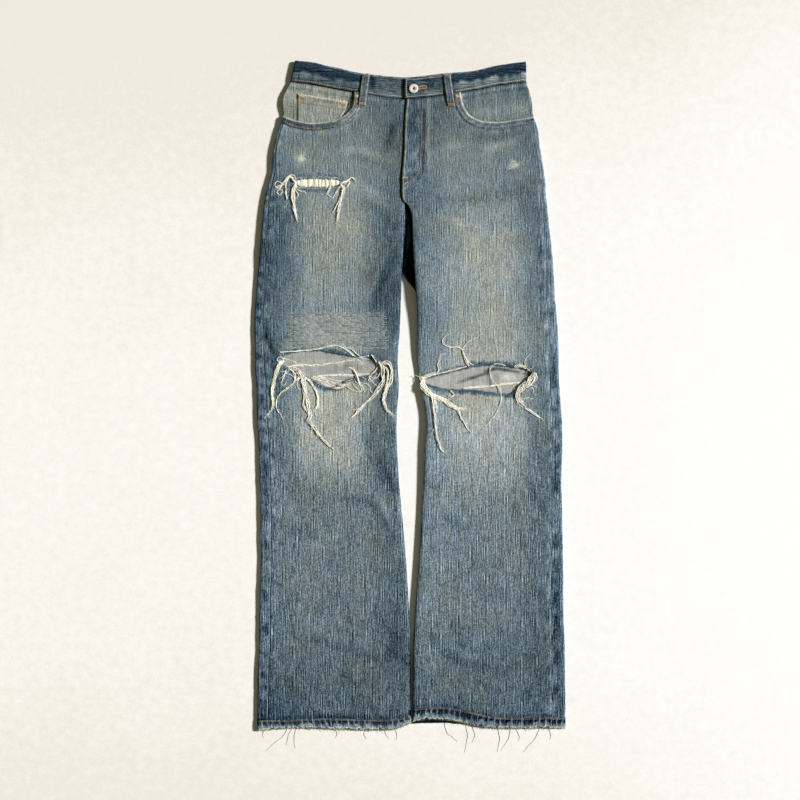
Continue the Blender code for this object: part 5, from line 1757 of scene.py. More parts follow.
def sew():
    """All topstitching and bartacks."""
    pale = Sewing("pale_topstitching", TOPSTITCH, "stitch_thread")
    orange = Sewing("orange_topstitching", ORANGE, "stitch_thread")
    rust = Sewing("hem_topstitching", RUST, "stitch_thread")
    umber = Sewing("faded_topstitching", UMBER, "stitch_thread")
    brown = Sewing("dark_topstitching", BROWN, "stitch_thread")
    rubbed = Sewing("rubbed_seam_line", SEAM_PALE, "stitch_thread")
    covered = Sewing("blue_seam_line", WARP_BLUE, "front_right_denim")
    sew_waist(pale, orange, umber, brown)
    for leg in LEGS:
        sew_leg(leg, umber if leg is LEFT else orange, umber, rust, rubbed, covered)
    orange.add(stitch_row([(-179.0, 473.6), (-105.0, 463.2)], seed=15))
    orange.add(stitch_row([(-176.0, 484.2), (-104.0, 472.6)], radius=0.34, seed=16))
    pale.add(stitch_row([(-178.8, 486.0), (-178.6, 444.0)], radius=0.34, seed=17))
    orange.add(bartack(-175.0, 484.0, 8.0, 4.6, -8, 3))
    orange.add(bartack(-107.5, 471.5, 8.0, 4.6, -8, 4))
    for number, row in enumerate(FRONT_LOOPS):
        sew_loop(row, number, orange, umber)
    sew_buttonhole(orange)
    for row in (pale, orange, rust, umber, brown, rubbed, covered):
        row.build()


def sew_waist(pale, orange, umber, brown):
    """The waistband's rows, the fly's, and the tacks at the fly's foot."""
    def above_seam(start, end, rise):
        x = np.linspace(start, end, 60)
        return np.column_stack([x, waist_seam(x) + rise])

    def by_top(start, end, count, rise):
        x = np.linspace(start, end, count)
        return np.column_stack([x, waist_top(x) + rise])

    orange.add(stitch_row(above_seam(-186, -86, 3.0), seed=1))
    pale.add(stitch_row(above_seam(-66, -11, 3.2), radius=0.55, seed=2))
    pale.add(stitch_row(above_seam(-5, 54, 3.2), radius=0.6, seed=3))
    pale.add(stitch_row(above_seam(74, 186, 3.0), radius=0.6, seed=4))
    pale.add(stitch_row(by_top(-5.0, 54.0, 30, -3.0), seed=5))
    pale.add(stitch_row([(-5.2, 484.0), (-5.2, 511.0)], seed=6))
    for start, end in ((-180, -84), (-62, -12), (74, 178)):
        brown.add(stitch_row(by_top(start, end, 40, -3.0), radius=0.4, seed=7))
    umber.add(stitch_row(FLY_OUTER, share=0.88, radius=0.64, seed=8))
    umber.add(stitch_row(FLY_INNER, share=0.88, radius=0.64, seed=9))
    for start, end in ((-8, 21), (74, 101)):
        umber.add(stitch_row(by_top(start, end, 14, 1.1), radius=0.4, seed=26))
    y = np.linspace(476, 316, 60)
    pale.add(stitch_row(np.column_stack([LEFT.inner(y) + 2.6, y]), radius=0.36, seed=10))
    orange.add(bartack(-7.4, 351.8, 9.0, 3.0, 0, 1))
    pale.add(stitch_row([(-10.8, 341.2), (-3.0, 344.6)], radius=0.5, seed=27))
    pale.add(stitch_row([(-10.6, 333.4), (-2.0, 337.0)], radius=0.5, seed=28))
    umber.add(stitch_row([(-3.4, 325.0), (-2.4, 311.0)], radius=0.5, seed=29))


def sew_leg(leg, mouth_thread, umber, rust, rubbed, covered):
    """A leg's rows: the pocket's mouth, the hem and the outseam."""
    def beside_seam(start, end, count, aside=0.0):
        y = np.linspace(start, end, count)
        return np.column_stack([leg.outseam(y) - leg.side * aside, y])

    mouth = leg.mouth_line[3:-2]
    mouth_thread.add(stitch_row(offset(mouth, leg.side * -9.0), seed=11))
    umber.add(stitch_row(offset(mouth, leg.side * -3.4), seed=12))
    outer = float(leg.outer(-535)) - leg.side * 2.0
    inner = float(leg.inner(-535)) + leg.side * 3.0
    x = np.linspace(outer, inner, 110)
    on_front = np.abs(x) < np.abs(leg.outseam(-530.0))
    seam = np.where(on_front, leg.hem["front_top"](x), leg.hem["back_top"](x))
    rust.add(stitch_row(np.column_stack([x, seam - 1.9]), share=0.88, radius=0.4, seed=13))
    rubbed.add(cord(np.column_stack([x, seam - 0.3]), 0.40, 18))
    rubbed.add(stitch_row(beside_seam(436, 322, 40, 2.6), radius=0.38, seed=14))
    for top, bottom, aside in SEAM_RUBS[leg]:
        rubbed.add(cord(beside_seam(top, bottom, 240, aside), 0.56, 19))
    covered.add(cord(beside_seam(*SEAM_COVERS[leg], 160), 0.62, 24))


def sew_loop(row, number, orange, umber):
    """A belt loop's two rows and its bartacks."""
    for aside in (-3.3, 3.3):
        ends = [(row.top[0] + aside, row.top[1] - 2.0), (row.bottom[0] + aside, row.bottom[1] + 3.0)]
        umber.add(stitch_row(ends, radius=0.3, seed=20 + number))
    orange.add(bartack(row.bottom[0], row.bottom[1] + 3.4, 9.6, 3.6, 0, 5 + number))
    umber.add(bartack(row.top[0], row.top[1] - 4.4, 8.0, 2.4, 0, 7 + number))


def sew_buttonhole(orange):
    """The buttonhole beside the button: two close rows and a bar across their end."""
    lean = 8.0
    reach = 20.6
    cos = math.cos(math.radians(lean))
    sin = math.sin(math.radians(lean))
    for step in range(22):
        along = 6.5 + 0.62 * step
        for aside in (-1.9, 1.9):
            x = BUTTON_CENTRE[0] + along * cos - aside * sin
            y = BUTTON_CENTRE[1] + along * sin + aside * cos
            orange.add(bartack(x, y, 0.75, 2.4, lean, step))
    orange.add(bartack(BUTTON_CENTRE[0] + reach * cos, BUTTON_CENTRE[1] + reach * sin, 1.6, 5.2, lean, 9))


# ------------------------------------------------------------------ loose yarns
Strand = namedtuple("Strand", "yarns start end path")
# Bundles of weft: how many yarns, the bundle's width at its start and its end, and its way.
STRANDS = [
    # the rip on the right thigh
    Strand(5, 5.0, 2.0, [(-184, 345), (-189, 353), (-197, 352), (-205, 342), (-212, 337), (-219, 337)]),
    Strand(2, 2.0, 1.5, [(-197, 352), (-200, 342), (-200, 329), (-198, 315), (-203, 304)]),
    Strand(1, 0.0, 0.0, [(-205, 342), (-214, 346), (-218, 341), (-212, 335), (-205, 331), (-209, 326)]),
    Strand(1, 0.0, 0.0, [(-206, 341), (-211, 333), (-215, 328), (-209, 324), (-206, 329)]),
    Strand(5, 4.5, 1.4, [(-184, 341), (-188, 330), (-188, 318), (-186, 302), (-181, 279)]),
    Strand(2, 2.0, 1.0, [(-183, 340), (-190, 326), (-188, 310), (-184, 296), (-182, 286)]),
    Strand(1, 0.0, 0.0, [(-183, 334), (-177, 330), (-171, 330), (-168, 325)]),
    Strand(1, 0.0, 0.0, [(-184, 332), (-180, 324), (-186, 318)]),
    Strand(2, 2.5, 1.0, [(-128, 338), (-131, 331), (-135, 325), (-140, 326)]),
    Strand(1, 0.0, 0.0, [(-134, 326), (-128, 321), (-124, 319)]),
    Strand(2, 2.0, 1.0, [(-112, 339), (-117, 331), (-123, 322), (-126, 315)]),
    Strand(4, 3.6, 1.4, [(-112, 341), (-107, 333), (-111, 317), (-115, 298), (-118, 277)]),
    Strand(3, 2.5, 1.2, [(-108, 335), (-112, 322), (-118, 308), (-124, 297), (-132, 294)]),
    Strand(2, 2.0, 1.0, [(-110, 345), (-103, 344), (-98, 349), (-92, 352), (-83, 343)]),
    Strand(2, 2.0, 1.5, [(-112, 342), (-104, 346), (-97, 345), (-101, 338), (-108, 336)]),
    # the rip on the right knee
    Strand(4, 5.0, 2.5, [(-204, 57), (-213, 47), (-219, 27), (-223, 5), (-221, -14), (-226, -28),
                         (-236, -39)]),
    Strand(4, 4.0, 2.0, [(-208, 56), (-216, 40), (-221, 18), (-222, -2), (-222, -20), (-231, -34)]),
    Strand(2, 2.5, 1.5, [(-196, 46), (-186, 34), (-188, 20), (-197, 12), (-209, 4), (-216, -9), (-214, -22),
                         (-204, -38), (-201, -50)]),
    Strand(1, 0.0, 0.0, [(-200, 40), (-205, 26), (-208, 20), (-203, 16), (-199, 22)]),
    Strand(3, 3.0, 1.5, [(-190, 44), (-182, 40), (-178, 30), (-188, 22), (-182, 12)]),
    Strand(6, 6.0, 3.0, [(-180, 41), (-172, 28), (-170, 10), (-166, -12), (-162, -30), (-160, -46),
                         (-146, -64), (-134, -77)]),
    Strand(3, 4.0, 1.2, [(-160, -46), (-148, -62), (-136, -76), (-122, -88), (-112, -94)]),
    Strand(2, 2.5, 1.5, [(-172, 26), (-170, 4), (-172, -14), (-166, -28), (-170, -36)]),
    Strand(2, 2.5, 1.2, [(-168, 30), (-156, 16), (-149, 2), (-148, -14), (-154, -26), (-148, -38)]),
    Strand(1, 0.0, 0.0, [(-176, 30), (-182, 22), (-180, 12), (-172, 10)]),
    Strand(5, 6.0, 2.5, [(-50, 54), (-43, 44), (-42, 28), (-48, 12), (-62, -4), (-74, -14), (-84, -26)]),
    Strand(2, 3.0, 1.0, [(-74, -14), (-86, -28), (-96, -37), (-104, -42)]),
    Strand(1, 0.0, 0.0, [(-80, -20), (-92, -23), (-97, -22)]),
    Strand(5, 4.5, 2.5, [(-47, 50), (-36, 52), (-29, 42), (-30, 26), (-37, 10), (-42, -6), (-38, -20),
                         (-30, -30), (-21, -40)]),
    Strand(3, 2.0, 1.5, [(-44, 46), (-38, 44), (-35, 34), (-38, 16), (-43, -2), (-38, -20), (-26, -34)]),
    Strand(1, 0.0, 0.0, [(-46, 46), (-50, 32), (-58, 28), (-66, 32), (-62, 24), (-54, 16)]),
    Strand(3, 2.6, 2.4, [(-157, 31), (-140, 27), (-124, 21), (-110, 17), (-100, 18)]),
    Strand(3, 3.0, 2.4, [(-160, 29), (-146, 24), (-130, 17), (-116, 14), (-104, 17), (-92, 24)]),
    Strand(2, 2.2, 1.6, [(-152, 31), (-132, 27), (-114, 23), (-98, 25), (-86, 30)]),
    Strand(2, 2.0, 1.5, [(-144, 20), (-128, 13), (-114, 12), (-102, 17), (-94, 22)]),
    Strand(1, 0.0, 0.0, [(-92, 46), (-87, 34), (-82, 21), (-77, 7), (-87, 12), (-92, 20)]),
    Strand(1, 0.0, 0.0, [(-62, 66), (-55, 56), (-53, 44), (-62, 34), (-66, 24), (-59, 26), (-53, 36)]),
    Strand(1, 0.0, 0.0, [(-98, 46), (-90, 40), (-85, 32), (-80, 16), (-72, 20), (-62, 12)]),
    Strand(1, 0.0, 0.0, [(-102, 14), (-90, 7), (-80, 6), (-75, 13)]),
    # the rip on the left knee
    Strand(8, 7.0, 3.5, [(24, 27), (19, 18), (28, 7), (37, 0), (54, -7), (69, -18), (80, -22), (92, -20)]),
    Strand(4, 4.0, 1.5, [(56, -8), (66, -15), (76, -20), (86, -21), (94, -20)]),
    Strand(3, 2.5, 1.2, [(66, -15), (77, -22), (82, -34), (88, -44), (94, -48)]),
    Strand(1, 0.0, 0.0, [(88, -44), (92, -52), (100, -60)]),
    Strand(4, 3.5, 1.5, [(32, 8), (36, -2), (38, -18), (41, -38), (43, -60), (47, -76), (51, -88),
                         (62, -94)]),
    Strand(2, 2.0, 1.0, [(36, 2), (42, -10), (44, -24), (40, -32)]),
    Strand(1, 0.0, 0.0, [(42, -52), (36, -58)]),
    Strand(1, 0.0, 0.0, [(155, 48), (146, 51), (137, 50), (130, 42), (132, 30), (140, 18), (147, 8),
                         (148, -6), (144, -20), (136, -34), (122, -50)]),
    Strand(10, 9.0, 4.5, [(202, 37), (196, 22), (181, 12), (174, 1), (179, -10), (190, -19)]),
    Strand(3, 3.0, 1.0, [(186, -20), (194, -24), (204, -31), (217, -42)]),
    Strand(5, 6.0, 4.0, [(170, 45), (178, 48), (186, 46), (193, 42)]),
    Strand(1, 0.0, 0.0, [(184, -6), (190, -4), (199, -6)]),
    Strand(2, 2.5, 1.0, [(96, 48), (91, 58), (87, 68), (85, 76)]),
    Strand(1, 0.0, 0.0, [(103, 49), (94, 56), (88, 66), (86, 76), (96, 88), (108, 94), (118, 102)]),
    Strand(2, 2.0, 1.0, [(86, 74), (78, 78), (67, 78), (57, 80)]),
    Strand(1, 0.0, 0.0, [(66, 78), (56, 82), (53, 88), (58, 96), (67, 101)]),
    Strand(1, 0.0, 0.0, [(42, 36), (48, 40), (49, 46), (47, 54), (48, 62), (52, 65), (57, 69)]),
    Strand(1, 0.0, 0.0, [(44, 34), (47, 42), (45, 50), (49, 58), (50, 66)]),
    Strand(2, 2.0, 1.5, [(18, 28), (28, 33), (38, 36), (48, 40)]),
    Strand(5, 5.0, 3.0, [(18, 30), (21, 22), (26, 14), (34, 8)]),
    Strand(1, 0.0, 0.0, [(20, 29), (14, 31), (8, 33)]),
    Strand(2, 2.0, 1.0, [(66, 8), (72, 2), (68, -2), (60, -2)]),
]
# Yarns that are still whole and cross a hole, or lie along its edge.
CROSSING = [
    Strand(3, 2.0, 2.6, [(-200, 46), (-178, 49), (-150, 49), (-128, 52), (-108, 55), (-84, 60), (-66, 63)]),
    Strand(3, 2.5, 2.5, [(-150, 31), (-126, 33), (-100, 33), (-78, 34), (-60, 34)]),
    Strand(2, 1.6, 1.6, [(-210, 70), (-180, 72), (-150, 75), (-128, 80), (-112, 79), (-100, 72), (-88, 62),
                         (-76, 48), (-68, 38)]),
    Strand(1, 0.0, 0.0, [(-205, 60), (-190, 56), (-176, 48), (-160, 42)]),
    Strand(1, 0.0, 0.0, [(-112, 78), (-96, 76), (-84, 66), (-72, 60), (-60, 58)]),
    Strand(1, 0.0, 0.0, [(-100, 46), (-90, 42), (-84, 30), (-80, 18)]),
    Strand(4, 2.2, 2.4, [(86, 11), (104, 13), (126, 15), (150, 18), (182, 22)]),
    Strand(2, 1.6, 1.6, [(20, 27), (36, 32), (56, 38), (76, 43), (92, 47)]),
]


def bundle(strand, seed, taut=False):
    """The yarns of one strand, each with its own wander, thinning to its end."""
    rng = np.random.default_rng(seed)
    line = resampled(rounded(strand.path, False, 6), 1.5)
    count = len(line)
    at = np.arange(count) * 1.5
    share = at / at[-1]
    paths = []
    radii = []
    normal = sideways(line)
    yarns = 1 if strand.yarns == 1 else math.ceil(1.3 * strand.yarns)
    for k in range(yarns):
        place = 0.0 if yarns == 1 else 2.0 * (k + 0.5) / yarns - 1.0
        width = mix(strand.start, strand.end, share)
        drift = 0.55 * width * (place + 0.9 * noise(at / 9.0, 0.5, 300 + seed * 7 + k))
        drift = drift + 0.5 * noise(at / 7.0, 0.5, 400 + seed * 5 + k) + 0.2 * noise(at / 2.5, 0.5, 450 + k)
        drift *= ramp(share, -0.1, 0.12)
        keep = count if taut or yarns == 1 else max(int(count * rng.uniform(0.7, 1.0)), 5)
        flat = (line + normal * drift[:, None])[:keep]
        radius = rng.uniform(0.42, 0.60) * (1.25 if taut else 1.0) * (1.0 - 0.45 * share[:keep] ** 3)
        radius = radius * (1.0 + 0.35 * noise(at[:keep] / 2.6, 0.5, 550 + seed + k))
        lift = radius + rng.uniform(0.0, 0.25) * min(yarns, 6)
        if taut:
            z = np.interp(at[:keep], [at[0], at[keep - 1]],
                          [surface_height(*flat[0]), surface_height(*flat[-1])])
            z = np.maximum(z - 0.6 * np.sin(math.pi * share[:keep]),
                           [surface_height(*p) for p in flat])
            paths.append(np.column_stack([flat, z + lift]))
        else:
            path = laid(flat, 0.0, 3, 0.35) if yarns > 1 else laid(flat, 0.0, min(14, keep - 1), 0.2)
            path[:, 2] += lift + 0.3 * (1.0 + noise(at[:keep] / 7.0, 0.5, 500 + seed + k))
            paths.append(path)
        radii.append(radius)
    return paths, radii


def fuzz(strand, seed):
    """Fine fibres that stand out from a strand."""
    rng = np.random.default_rng(seed)
    line = resampled(rounded(strand.path, False, 6), 1.8)
    paths = []
    radii = []
    for (x, y), (nx, ny) in zip(line, sideways(line)):
        side = rng.choice([-1.0, 1.0])
        long = rng.uniform(1.2, 3.6)
        turn = rng.uniform(-0.9, 0.9)
        dx = side * (nx * math.cos(turn) - ny * math.sin(turn))
        dy = side * (nx * math.sin(turn) + ny * math.cos(turn))
        steps = np.linspace(0.0, 1.0, 4)
        start = 0.3 * strand.start * side
        bend = rng.uniform(-1.0, 1.0) * steps**2
        flat = np.column_stack([x + nx * start + dx * long * steps - dy * bend,
                                y + ny * start + dy * long * steps + dx * bend])
        paths.append(laid(flat, 0.4))
        radii.append(np.linspace(0.22, 0.1, 4))
    return paths, radii


def curls(centre, spread, count, seed):
    """A tangle of short curled yarns."""
    rng = np.random.default_rng(seed)
    paths = []
    radii = []
    for _ in range(count):
        x, y = np.array(centre) + rng.uniform(-1.0, 1.0, 2) * np.array(spread)
        heading = rng.uniform(0.0, 2 * math.pi)
        bend = rng.uniform(-0.35, 0.35)
        points = []
        for _ in range(int(rng.uniform(7, 18))):
            points.append((x, y))
            heading += bend + rng.uniform(-0.25, 0.25)
            x += 1.7 * math.cos(heading)
            y += 1.7 * math.sin(heading)
        path = laid(points, 0.0, 2)
        path[:, 2] += 0.7 + rng.uniform(0.0, 1.2)
        paths.append(path)
        radii.append(np.linspace(0.55, 0.35, len(path)))
    return paths, radii


def fringe(outline, keep, length, spacing, seed, inward=1.0, lean=0.7, radius=0.3):
    """Short yarn ends that stand out from a worn edge, where keep(x, y, normal) says so."""
    rng = np.random.default_rng(seed)
    path = resampled(outline, spacing, closed=True)
    normal = -sideways(path) * inward
    paths = []
    radii = []
    for (x, y), (nx, ny) in zip(path, normal):
        if not keep(x, y, ny):
            continue
        turn = rng.uniform(-lean, lean)
        dx = nx * math.cos(turn) - ny * math.sin(turn)
        dy = nx * math.sin(turn) + ny * math.cos(turn)
        long = length * rng.uniform(0.35, 1.0)
        back = rng.uniform(0.5, 2.0)
        bend = rng.uniform(-0.25, 0.25) * long
        steps = np.linspace(0.0, 1.0, 5)
        px = x - dx * back + dx * (long + back) * steps - dy * bend * steps**2
        py = y - dy * back + dy * (long + back) * steps + dx * bend * steps**2
        start = surface_height(x - nx * 2.0, y - ny * 2.0)
        z = start + 0.15 + rng.uniform(-0.2, 0.5) * steps
        z = np.maximum(z - 1.4 * steps**2, [max(surface_height(a, b), 0.25) + 0.1 for a, b in zip(px, py)])
        paths.append(np.column_stack([px, py, z]))
        radii.append(radius * np.linspace(1.0, 0.45, 5))
    return paths, radii


def loose_yarns():
    """The loose weft of the rips, its fibres, and the blue fringe of the warp."""
    cream = Sewing("loose_weft_yarns", COTTON, "loose_weft", 4)
    for number, strand in enumerate(STRANDS):
        cream.add(bundle(strand, 10 + number))
    for number, strand in enumerate(CROSSING):
        cream.add(bundle(strand, 90 + number, taut=True))
    cream.add(curls((-74, 24), (16, 12), 5, 601))
    cream.add(curls((-196, 44), (12, 8), 6, 604))
    cream.add(curls((190, 12), (9, 10), 3, 606))
    cream.add(curls((186, 42), (6, 3), 5, 608))
    ends = Sewing("weft_ends", COTTON, "loose_weft", 4)
    for number, strand in enumerate(STRANDS):
        ends.add(fuzz(strand, 150 + number))
    ends.add(fringe(RIGHT_KNEE, lambda x, y, ny: abs(ny) < 0.9, 5.0, 1.6, 611))
    ends.add(fringe(LEFT_KNEE, lambda x, y, ny: abs(ny) < 0.9, 4.5, 1.8, 612))
    ends.add(fringe(THIGH, lambda x, y, ny: abs(ny) > 0.4, 3.6, 1.0, 618, inward=-1.0))
    blue = Sewing("blue_fringe", WARP_BLUE, "front_right_denim", 4)
    blue.add(fringe(RIGHT_KNEE, lambda x, y, ny: abs(ny) > 0.55, 5.0, 0.72, 613))
    blue.add(fringe(RIGHT_KNEE, lambda x, y, ny: abs(ny) > 0.55, 3.4, 0.78, 614, inward=-1.0))
    blue.add(fringe(LEFT_KNEE, lambda x, y, ny: abs(ny) > 0.55, 4.6, 0.72, 615))
    blue.add(fringe(LEFT_KNEE, lambda x, y, ny: abs(ny) > 0.55, 3.0, 0.8, 616, inward=-1.0))
    blue.add(fringe(THIGH, lambda x, y, ny: abs(ny) > 0.5, 4.6, 0.5, 617, inward=-1.0))
    for row in (cream, ends, blue):
        row.build()


# Single long hairs below the hems.
HEM_HAIRS = [
    [(-198, -541), (-205, -552), (-218, -562), (-232, -575)],
    [(-184, -540), (-187, -556), (-185, -572)],
    [(-190, -540), (-196, -550), (-199, -566)],
    [(-40, -541), (-38, -549), (-33, -556)],
    [(-24, -540), (-20, -549), (-22, -558)],
    [(56, -525), (60, -545), (69, -553), (78, -561)],
    [(91, -532), (94, -552), (91, -570), (89, -579)],
    [(100, -533), (106, -550), (101, -562)],
    [(143, -539), (146, -556), (142, -578)],
    [(164, -539), (160, -556), (148, -575)],
    [(172, -539), (178, -552), (176, -560)],
    [(211, -539), (203, -556), (192, -568), (184, -578)],
    [(225, -539), (229, -549), (227, -558)],
    [(-120, -540), (-117, -549), (-121, -555)],
    [(-70, -541), (-74, -548), (-70, -556)],
    [(-232, -541), (-238, -548), (-236, -555)],
]


def hem_fray():
    """Hairs and worn fibres below the hems."""
    grey = Sewing("hem_fray", HEM_GREY, "hem_denim", 4)
    pale = Sewing("hem_bare_ends", HEM_PALE, "hem_denim", 4)
    hair = Sewing("hem_hairs", HAIR, "hem_denim", 4)
    rng = np.random.default_rng(701)
    for path in HEM_HAIRS:
        line = resampled(rounded(path, False, 5), 2.0)
        line[:, 0] += 0.5 * noise(np.arange(len(line)) / 2.0, 0.5, 702)
        z = np.array([max(surface_height(px, py) + 0.3, 0.35) for px, py in line])
        hair.add(([np.column_stack([line, z])], [np.linspace(0.30, 0.14, len(line))]))
    for leg in LEGS:
        low, high = sorted((float(leg.outer(-535)), float(leg.inner(-535))))
        for x in np.arange(low + 3, high - 2, 0.9):
            y = float(leg.hem["front_bottom"](x))
            long = rng.uniform(0.8, 3.0) * (2.2 if rng.random() < 0.06 else 1.0)
            turn = rng.uniform(-0.9, 0.9)
            steps = np.linspace(0.0, 1.0, 4)
            px = x + math.sin(turn) * long * steps
            py = y + 1.2 - math.cos(turn) * (long + 1.2) * steps
            z = np.linspace(5.6, rng.uniform(2.0, 5.0), 4)
            grey.add(([np.column_stack([px, py, z])], [np.linspace(0.26, 0.14, 4)]))
        for x in np.arange(low + 2, high - 1, 0.42):
            if noise(x / 5.0, 0.5, 703) + 0.5 * noise(x / 14.0, 0.5, 704) < -0.5 + 0.5 * rng.random():
                continue
            start = float(leg.hem["front_bottom"](x)) + rng.uniform(0.6, 3.0)
            turn = rng.uniform(-1.1, 1.1)
            steps = np.linspace(0.0, 1.0, 4) * rng.uniform(1.6, 3.2)
            flat = np.column_stack([x + math.sin(turn) * steps, start - math.cos(turn) * steps])
            z = np.maximum([surface_height(*place) + 0.25 for place in flat], 3.6)
            pale.add(([np.column_stack([flat, z])], [np.array([0.25, 0.44, 0.44, 0.25])]))
    for row in (grey, pale, hair):
        row.build()


def darning():
    """Rows of machine darning over the thin cloth above the right knee."""
    pitch = 1.85
    radii = np.full(4, 0.40)
    lifts = [-0.3, 0.2, 0.2, -0.3]
    pale = yarn_material("darning_pale", [(158, 164, 160), (184, 187, 181), (208, 208, 198)])
    grey = yarn_material("darning_dark", [(98, 110, 116), (118, 128, 131), (140, 146, 146)])
    light = Sewing("darning_light", pale, "stitch_thread", 4)
    dark = Sewing("darning_dark", grey, "stitch_thread", 4)
    rng = np.random.default_rng(711)
    for row, y in enumerate(np.arange(76.0, 135.0, pitch)):
        x = -203.0 + rng.uniform(0.0, 16.0) if y > 92 else -212.0 + rng.uniform(0.0, 10.0)
        end = -36.0 - rng.uniform(0.0, 10.0)
        while x < end:
            long = min(rng.uniform(7.0, 22.0), end + 3.0 - x)
            ends = np.array([(x + long * s, y + 0.3 * float(noise((x + long * s) / 22.0, row, 712)))
                             for s in (0.0, 0.25, 0.75, 1.0)])
            path = laid(ends, 0.0)
            path[:, 2] += lifts
            (light if rng.random() < 0.80 else dark).add(([path], [radii]))
            x += long + rng.uniform(0.3, 1.0)
    light.build()
    dark.build()


def thigh_weft():
    """The bunched weft that fills the thigh rip: soft upright lumps of bare yarn, with painted shade in the
    grooves between them.
    """
    t = repeated(np.linspace(0.0, 1.0, 17), 90)
    x = np.broadcast_to(np.linspace(-189.0, -109.0, t.shape[1]), t.shape)
    in_middle = 1.0 - np.abs((x + 149.0) / 41.0) ** 4
    low = 343.5 - 8.0 * in_middle + 0.9 * noise(x / 5.0, 0.5, 721)
    high = 344.5 + 8.2 * in_middle + 0.5 * noise(x / 6.0, 0.5, 722)
    y = mix(high, low, t)
    lump = np.abs(np.sin(x / 2.3 + 2.6 * noise(x / 8.0, 0.5, 723) + 0.9 * t * noise(x / 5.0, 0.5, 725)))
    z = front_top(RIGHT, x, y) - 1.0 + (0.5 + 0.9 * lump) * np.sin(math.pi * np.clip(t, 0.04, 0.96)) ** 0.7
    z += 0.25 * noise(x / 1.5, y / 4.0, 724)
    g = Graph("bunched_weft")
    fibre = g.noise(g.scaled(g.place(), (1500.0, 500.0, 500.0)), 2.0, 0.6)
    # The grooves between the lumps are painted darker tan: painted shade.
    level = g.math("MULTIPLY_ADD", fibre, 0.6, g.math("MULTIPLY_ADD", g.attribute("groove_shade"), -0.42, 0.5))
    stops = [(0.0, (178, 160, 130)), (0.3, (216, 203, 173)), (0.6, (238, 230, 208)), (0.9, (250, 246, 230))]
    g.bump(fibre, 0.4, 0.8)
    marks = {"groove_shade": (1.0 - lump).ravel()}
    material = g.finished(g.ramp(level, stops))
    piece("thigh_weft_bunch", points_of(x, y, z), quads(*t.shape, flip=True), [material],
          ["thigh_rip_threads"], marks, TURNING)


# ------------------------------------------------------------------ metalwork
def lathe(name, profile, centre, material, nodes, steps=40):
    """A round piece from (radius, height) points that run down its outer side."""
    turn = 2 * math.pi * np.arange(steps) / steps
    inner = [(0.0, 0.0, profile[0][1])]
    rings = [points_of(r * np.cos(turn), r * np.sin(turn), z) for r, z in profile[1:-1]]
    points = np.vstack([inner, *rings, [(0.0, 0.0, profile[-1][1])]]) + np.array([*centre, 0.0])
    faces = []
    last = len(points) - 1
    for i in range(steps):
        j = (i + 1) % steps
        faces.append([0, 1 + i, 1 + j])
        for k in range(len(rings) - 1):
            a = 1 + k * steps
            faces.append([a + i, a + steps + i, a + steps + j, a + j])
        a = 1 + (len(rings) - 1) * steps
        faces.append([a + i, last, a + j])
    piece(name, points, faces, [material], nodes)


def metalwork():
    """The tack button, its tarnished middle, and the rivets."""
    tab_top = FRONT_BAND_LEVEL + TAB_LIFT + BAND_CLOTH / 2
    stand_top = FRONT_BAND_LEVEL + BAND_CLOTH / 2
    cap = tab_top + 0.5
    button = [(0.0, cap + 0.2), (0.9, cap + 0.2), (1.5, cap + 0.25), (2.0, cap + 0.3), (2.4, cap + 0.7),
              (2.8, cap + 1.4), (3.6, cap + 1.75), (5.2, cap + 1.85), (6.6, cap + 1.75), (7.2, cap + 1.4),
              (7.45, cap + 0.9), (7.4, cap + 0.5), (7.0, cap + 0.15), (6.4, cap), (1.2, cap),
              (1.2, stand_top + SEAM_GAP), (0.0, stand_top + SEAM_GAP)]
    lathe("tack_button", button, BUTTON_CENTRE, NICKEL, ["waist_button"], 48)
    middle = [(0.0, cap + 1.0), (1.0, cap + 0.9), (1.7, cap + 0.6), (2.2, cap + 0.5), (2.2, cap + 0.2),
              (0.0, cap + 0.2)]
    lathe("button_middle", middle, BUTTON_CENTRE, TARNISH, (), 24)
    for leg, x, y in ((RIGHT, -85.6, 484.0), (LEFT, 76.5, 484.0)):
        base = float(front_top(leg, np.array([x]), np.array([y]))[0]) + 1.0
        rivet = [(0.0, base + 1.0), (0.7, base + 0.95), (1.2, base + 0.55), (1.7, base + 0.45),
                 (2.2, base + 0.7), (2.7, base + 0.55), (3.0, base + 0.2), (3.0, base), (0.0, base)]
        lathe("rivet_cap_" + leg.name, rivet, (x, y), COPPER, ["rivet_" + leg.name], 24)


sew()
loose_yarns()
hem_fray()
darning()
thigh_weft()
metalwork()


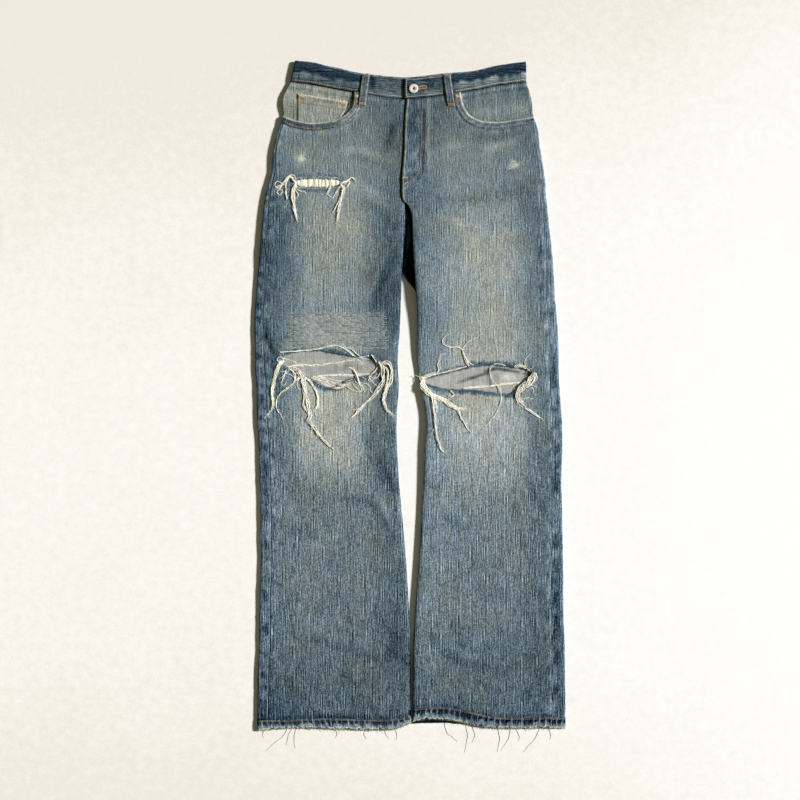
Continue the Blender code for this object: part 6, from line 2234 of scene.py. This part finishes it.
# ------------------------------------------------------------------ floor, light and camera
def stage_floor():
    """A plain pale plaster floor, a little darker and warmer away from the light."""
    mesh = bpy.data.meshes.new("floor")
    mesh.from_pydata([(-4, -4, 0), (4, -4, 0), (4, 4, 0), (-4, 4, 0)], [], [(0, 1, 2, 3)])
    floor = bpy.data.objects.new("floor", mesh)
    bpy.context.scene.collection.objects.link(floor)
    g = Graph("plaster")
    place = g.place()
    across, up, _ = g.split(place)
    cloud = g.noise(g.scaled(place, (6.0, 6.0, 6.0)), 4.0, 0.6)
    mottle = g.noise(g.scaled(place, (70.0, 70.0, 70.0)), 3.0, 0.7)
    grain = g.noise(g.scaled(place, (330.0, 330.0, 330.0)), 2.0, 0.7)
    shade = g.math("MULTIPLY_ADD", across, 0.5, 0.52)
    shade = g.math("MULTIPLY_ADD", g.math("MULTIPLY", across, across), 0.5, shade)
    shade = g.math("MULTIPLY_ADD", up, -0.25, shade)
    shade = g.math("MULTIPLY_ADD", g.math("MULTIPLY", up, up), -1.3, shade)
    shade = g.math("ADD", shade, g.math("MULTIPLY_ADD", cloud, 0.34, -0.15))
    shade = g.math("ADD", shade, g.math("MULTIPLY_ADD", mottle, 0.9, -0.45))
    shade = g.math("ADD", shade, g.math("MULTIPLY_ADD", grain, 0.7, -0.35))
    stops = [(0.0, (240, 233, 225)), (0.35, (250, 245, 239)), (0.7, (255, 253, 252)), (1.0, (255, 255, 255))]
    mesh.materials.append(g.finished(g.ramp(shade, stops)))


def light_and_camera():
    """Soft daylight from the right and a fill all round, together at a plain level."""
    elevation = math.radians(31.0)
    azimuth = math.radians(12.0)
    key_share = 0.885
    sun_data = bpy.data.lights.new("key", "SUN")
    sun_data.energy = math.pi * key_share / math.sin(elevation)
    sun_data.angle = math.radians(7.0)
    sun_data.color = (1.0, 1.0, 1.015)
    sun = bpy.data.objects.new("key", sun_data)
    to_light = Vector((math.cos(elevation) * math.cos(azimuth), math.cos(elevation) * math.sin(azimuth),
                       math.sin(elevation)))
    sun.rotation_mode = "QUATERNION"
    sun.rotation_quaternion = to_light.to_track_quat("Z", "Y")
    bpy.context.scene.collection.objects.link(sun)
    world = bpy.data.worlds.new("studio")
    bpy.context.scene.world = world
    world.use_nodes = True
    nodes = world.node_tree.nodes
    links = world.node_tree.links
    fill = nodes["Background"]
    fill.inputs["Color"].default_value = (0.97, 0.97, 0.66, 1.0)
    fill.inputs["Strength"].default_value = 1.0 - key_share
    backdrop = nodes.new("ShaderNodeBackground")
    backdrop.inputs["Color"].default_value = (0.90, 0.86, 0.80, 1.0)
    light_path = nodes.new("ShaderNodeLightPath")
    shown = light_path.outputs["Is Camera Ray"]
    for kind in ("Is Glossy Ray", "Is Transmission Ray"):
        either = nodes.new("ShaderNodeMath")
        either.operation = "MAXIMUM"
        links.new(shown, either.inputs[0])
        links.new(light_path.outputs[kind], either.inputs[1])
        shown = either.outputs[0]
    chosen = nodes.new("ShaderNodeMixShader")
    links.new(shown, chosen.inputs[0])
    links.new(fill.outputs[0], chosen.inputs[1])
    links.new(backdrop.outputs[0], chosen.inputs[2])
    links.new(chosen.outputs[0], nodes["World Output"].inputs["Surface"])
    camera_data = bpy.data.cameras.new("camera")
    camera = bpy.data.objects.new("camera", camera_data)
    bpy.context.scene.collection.objects.link(camera)
    height = 3.6
    view_width = 1.296
    camera_data.sensor_width = 36.0
    camera_data.lens = 36.0 * height / view_width
    camera_data.clip_end = 50.0
    camera.location = (-0.0154, -0.0073, height)
    bpy.context.scene.camera = camera
    bpy.context.scene.view_settings.view_transform = "Standard"


stage_floor()
light_and_camera()

# ------------------------------------------------------------------ a record for how a cloth was cut
Cut = namedtuple("Cut", "piece width length area lies_on with_it")
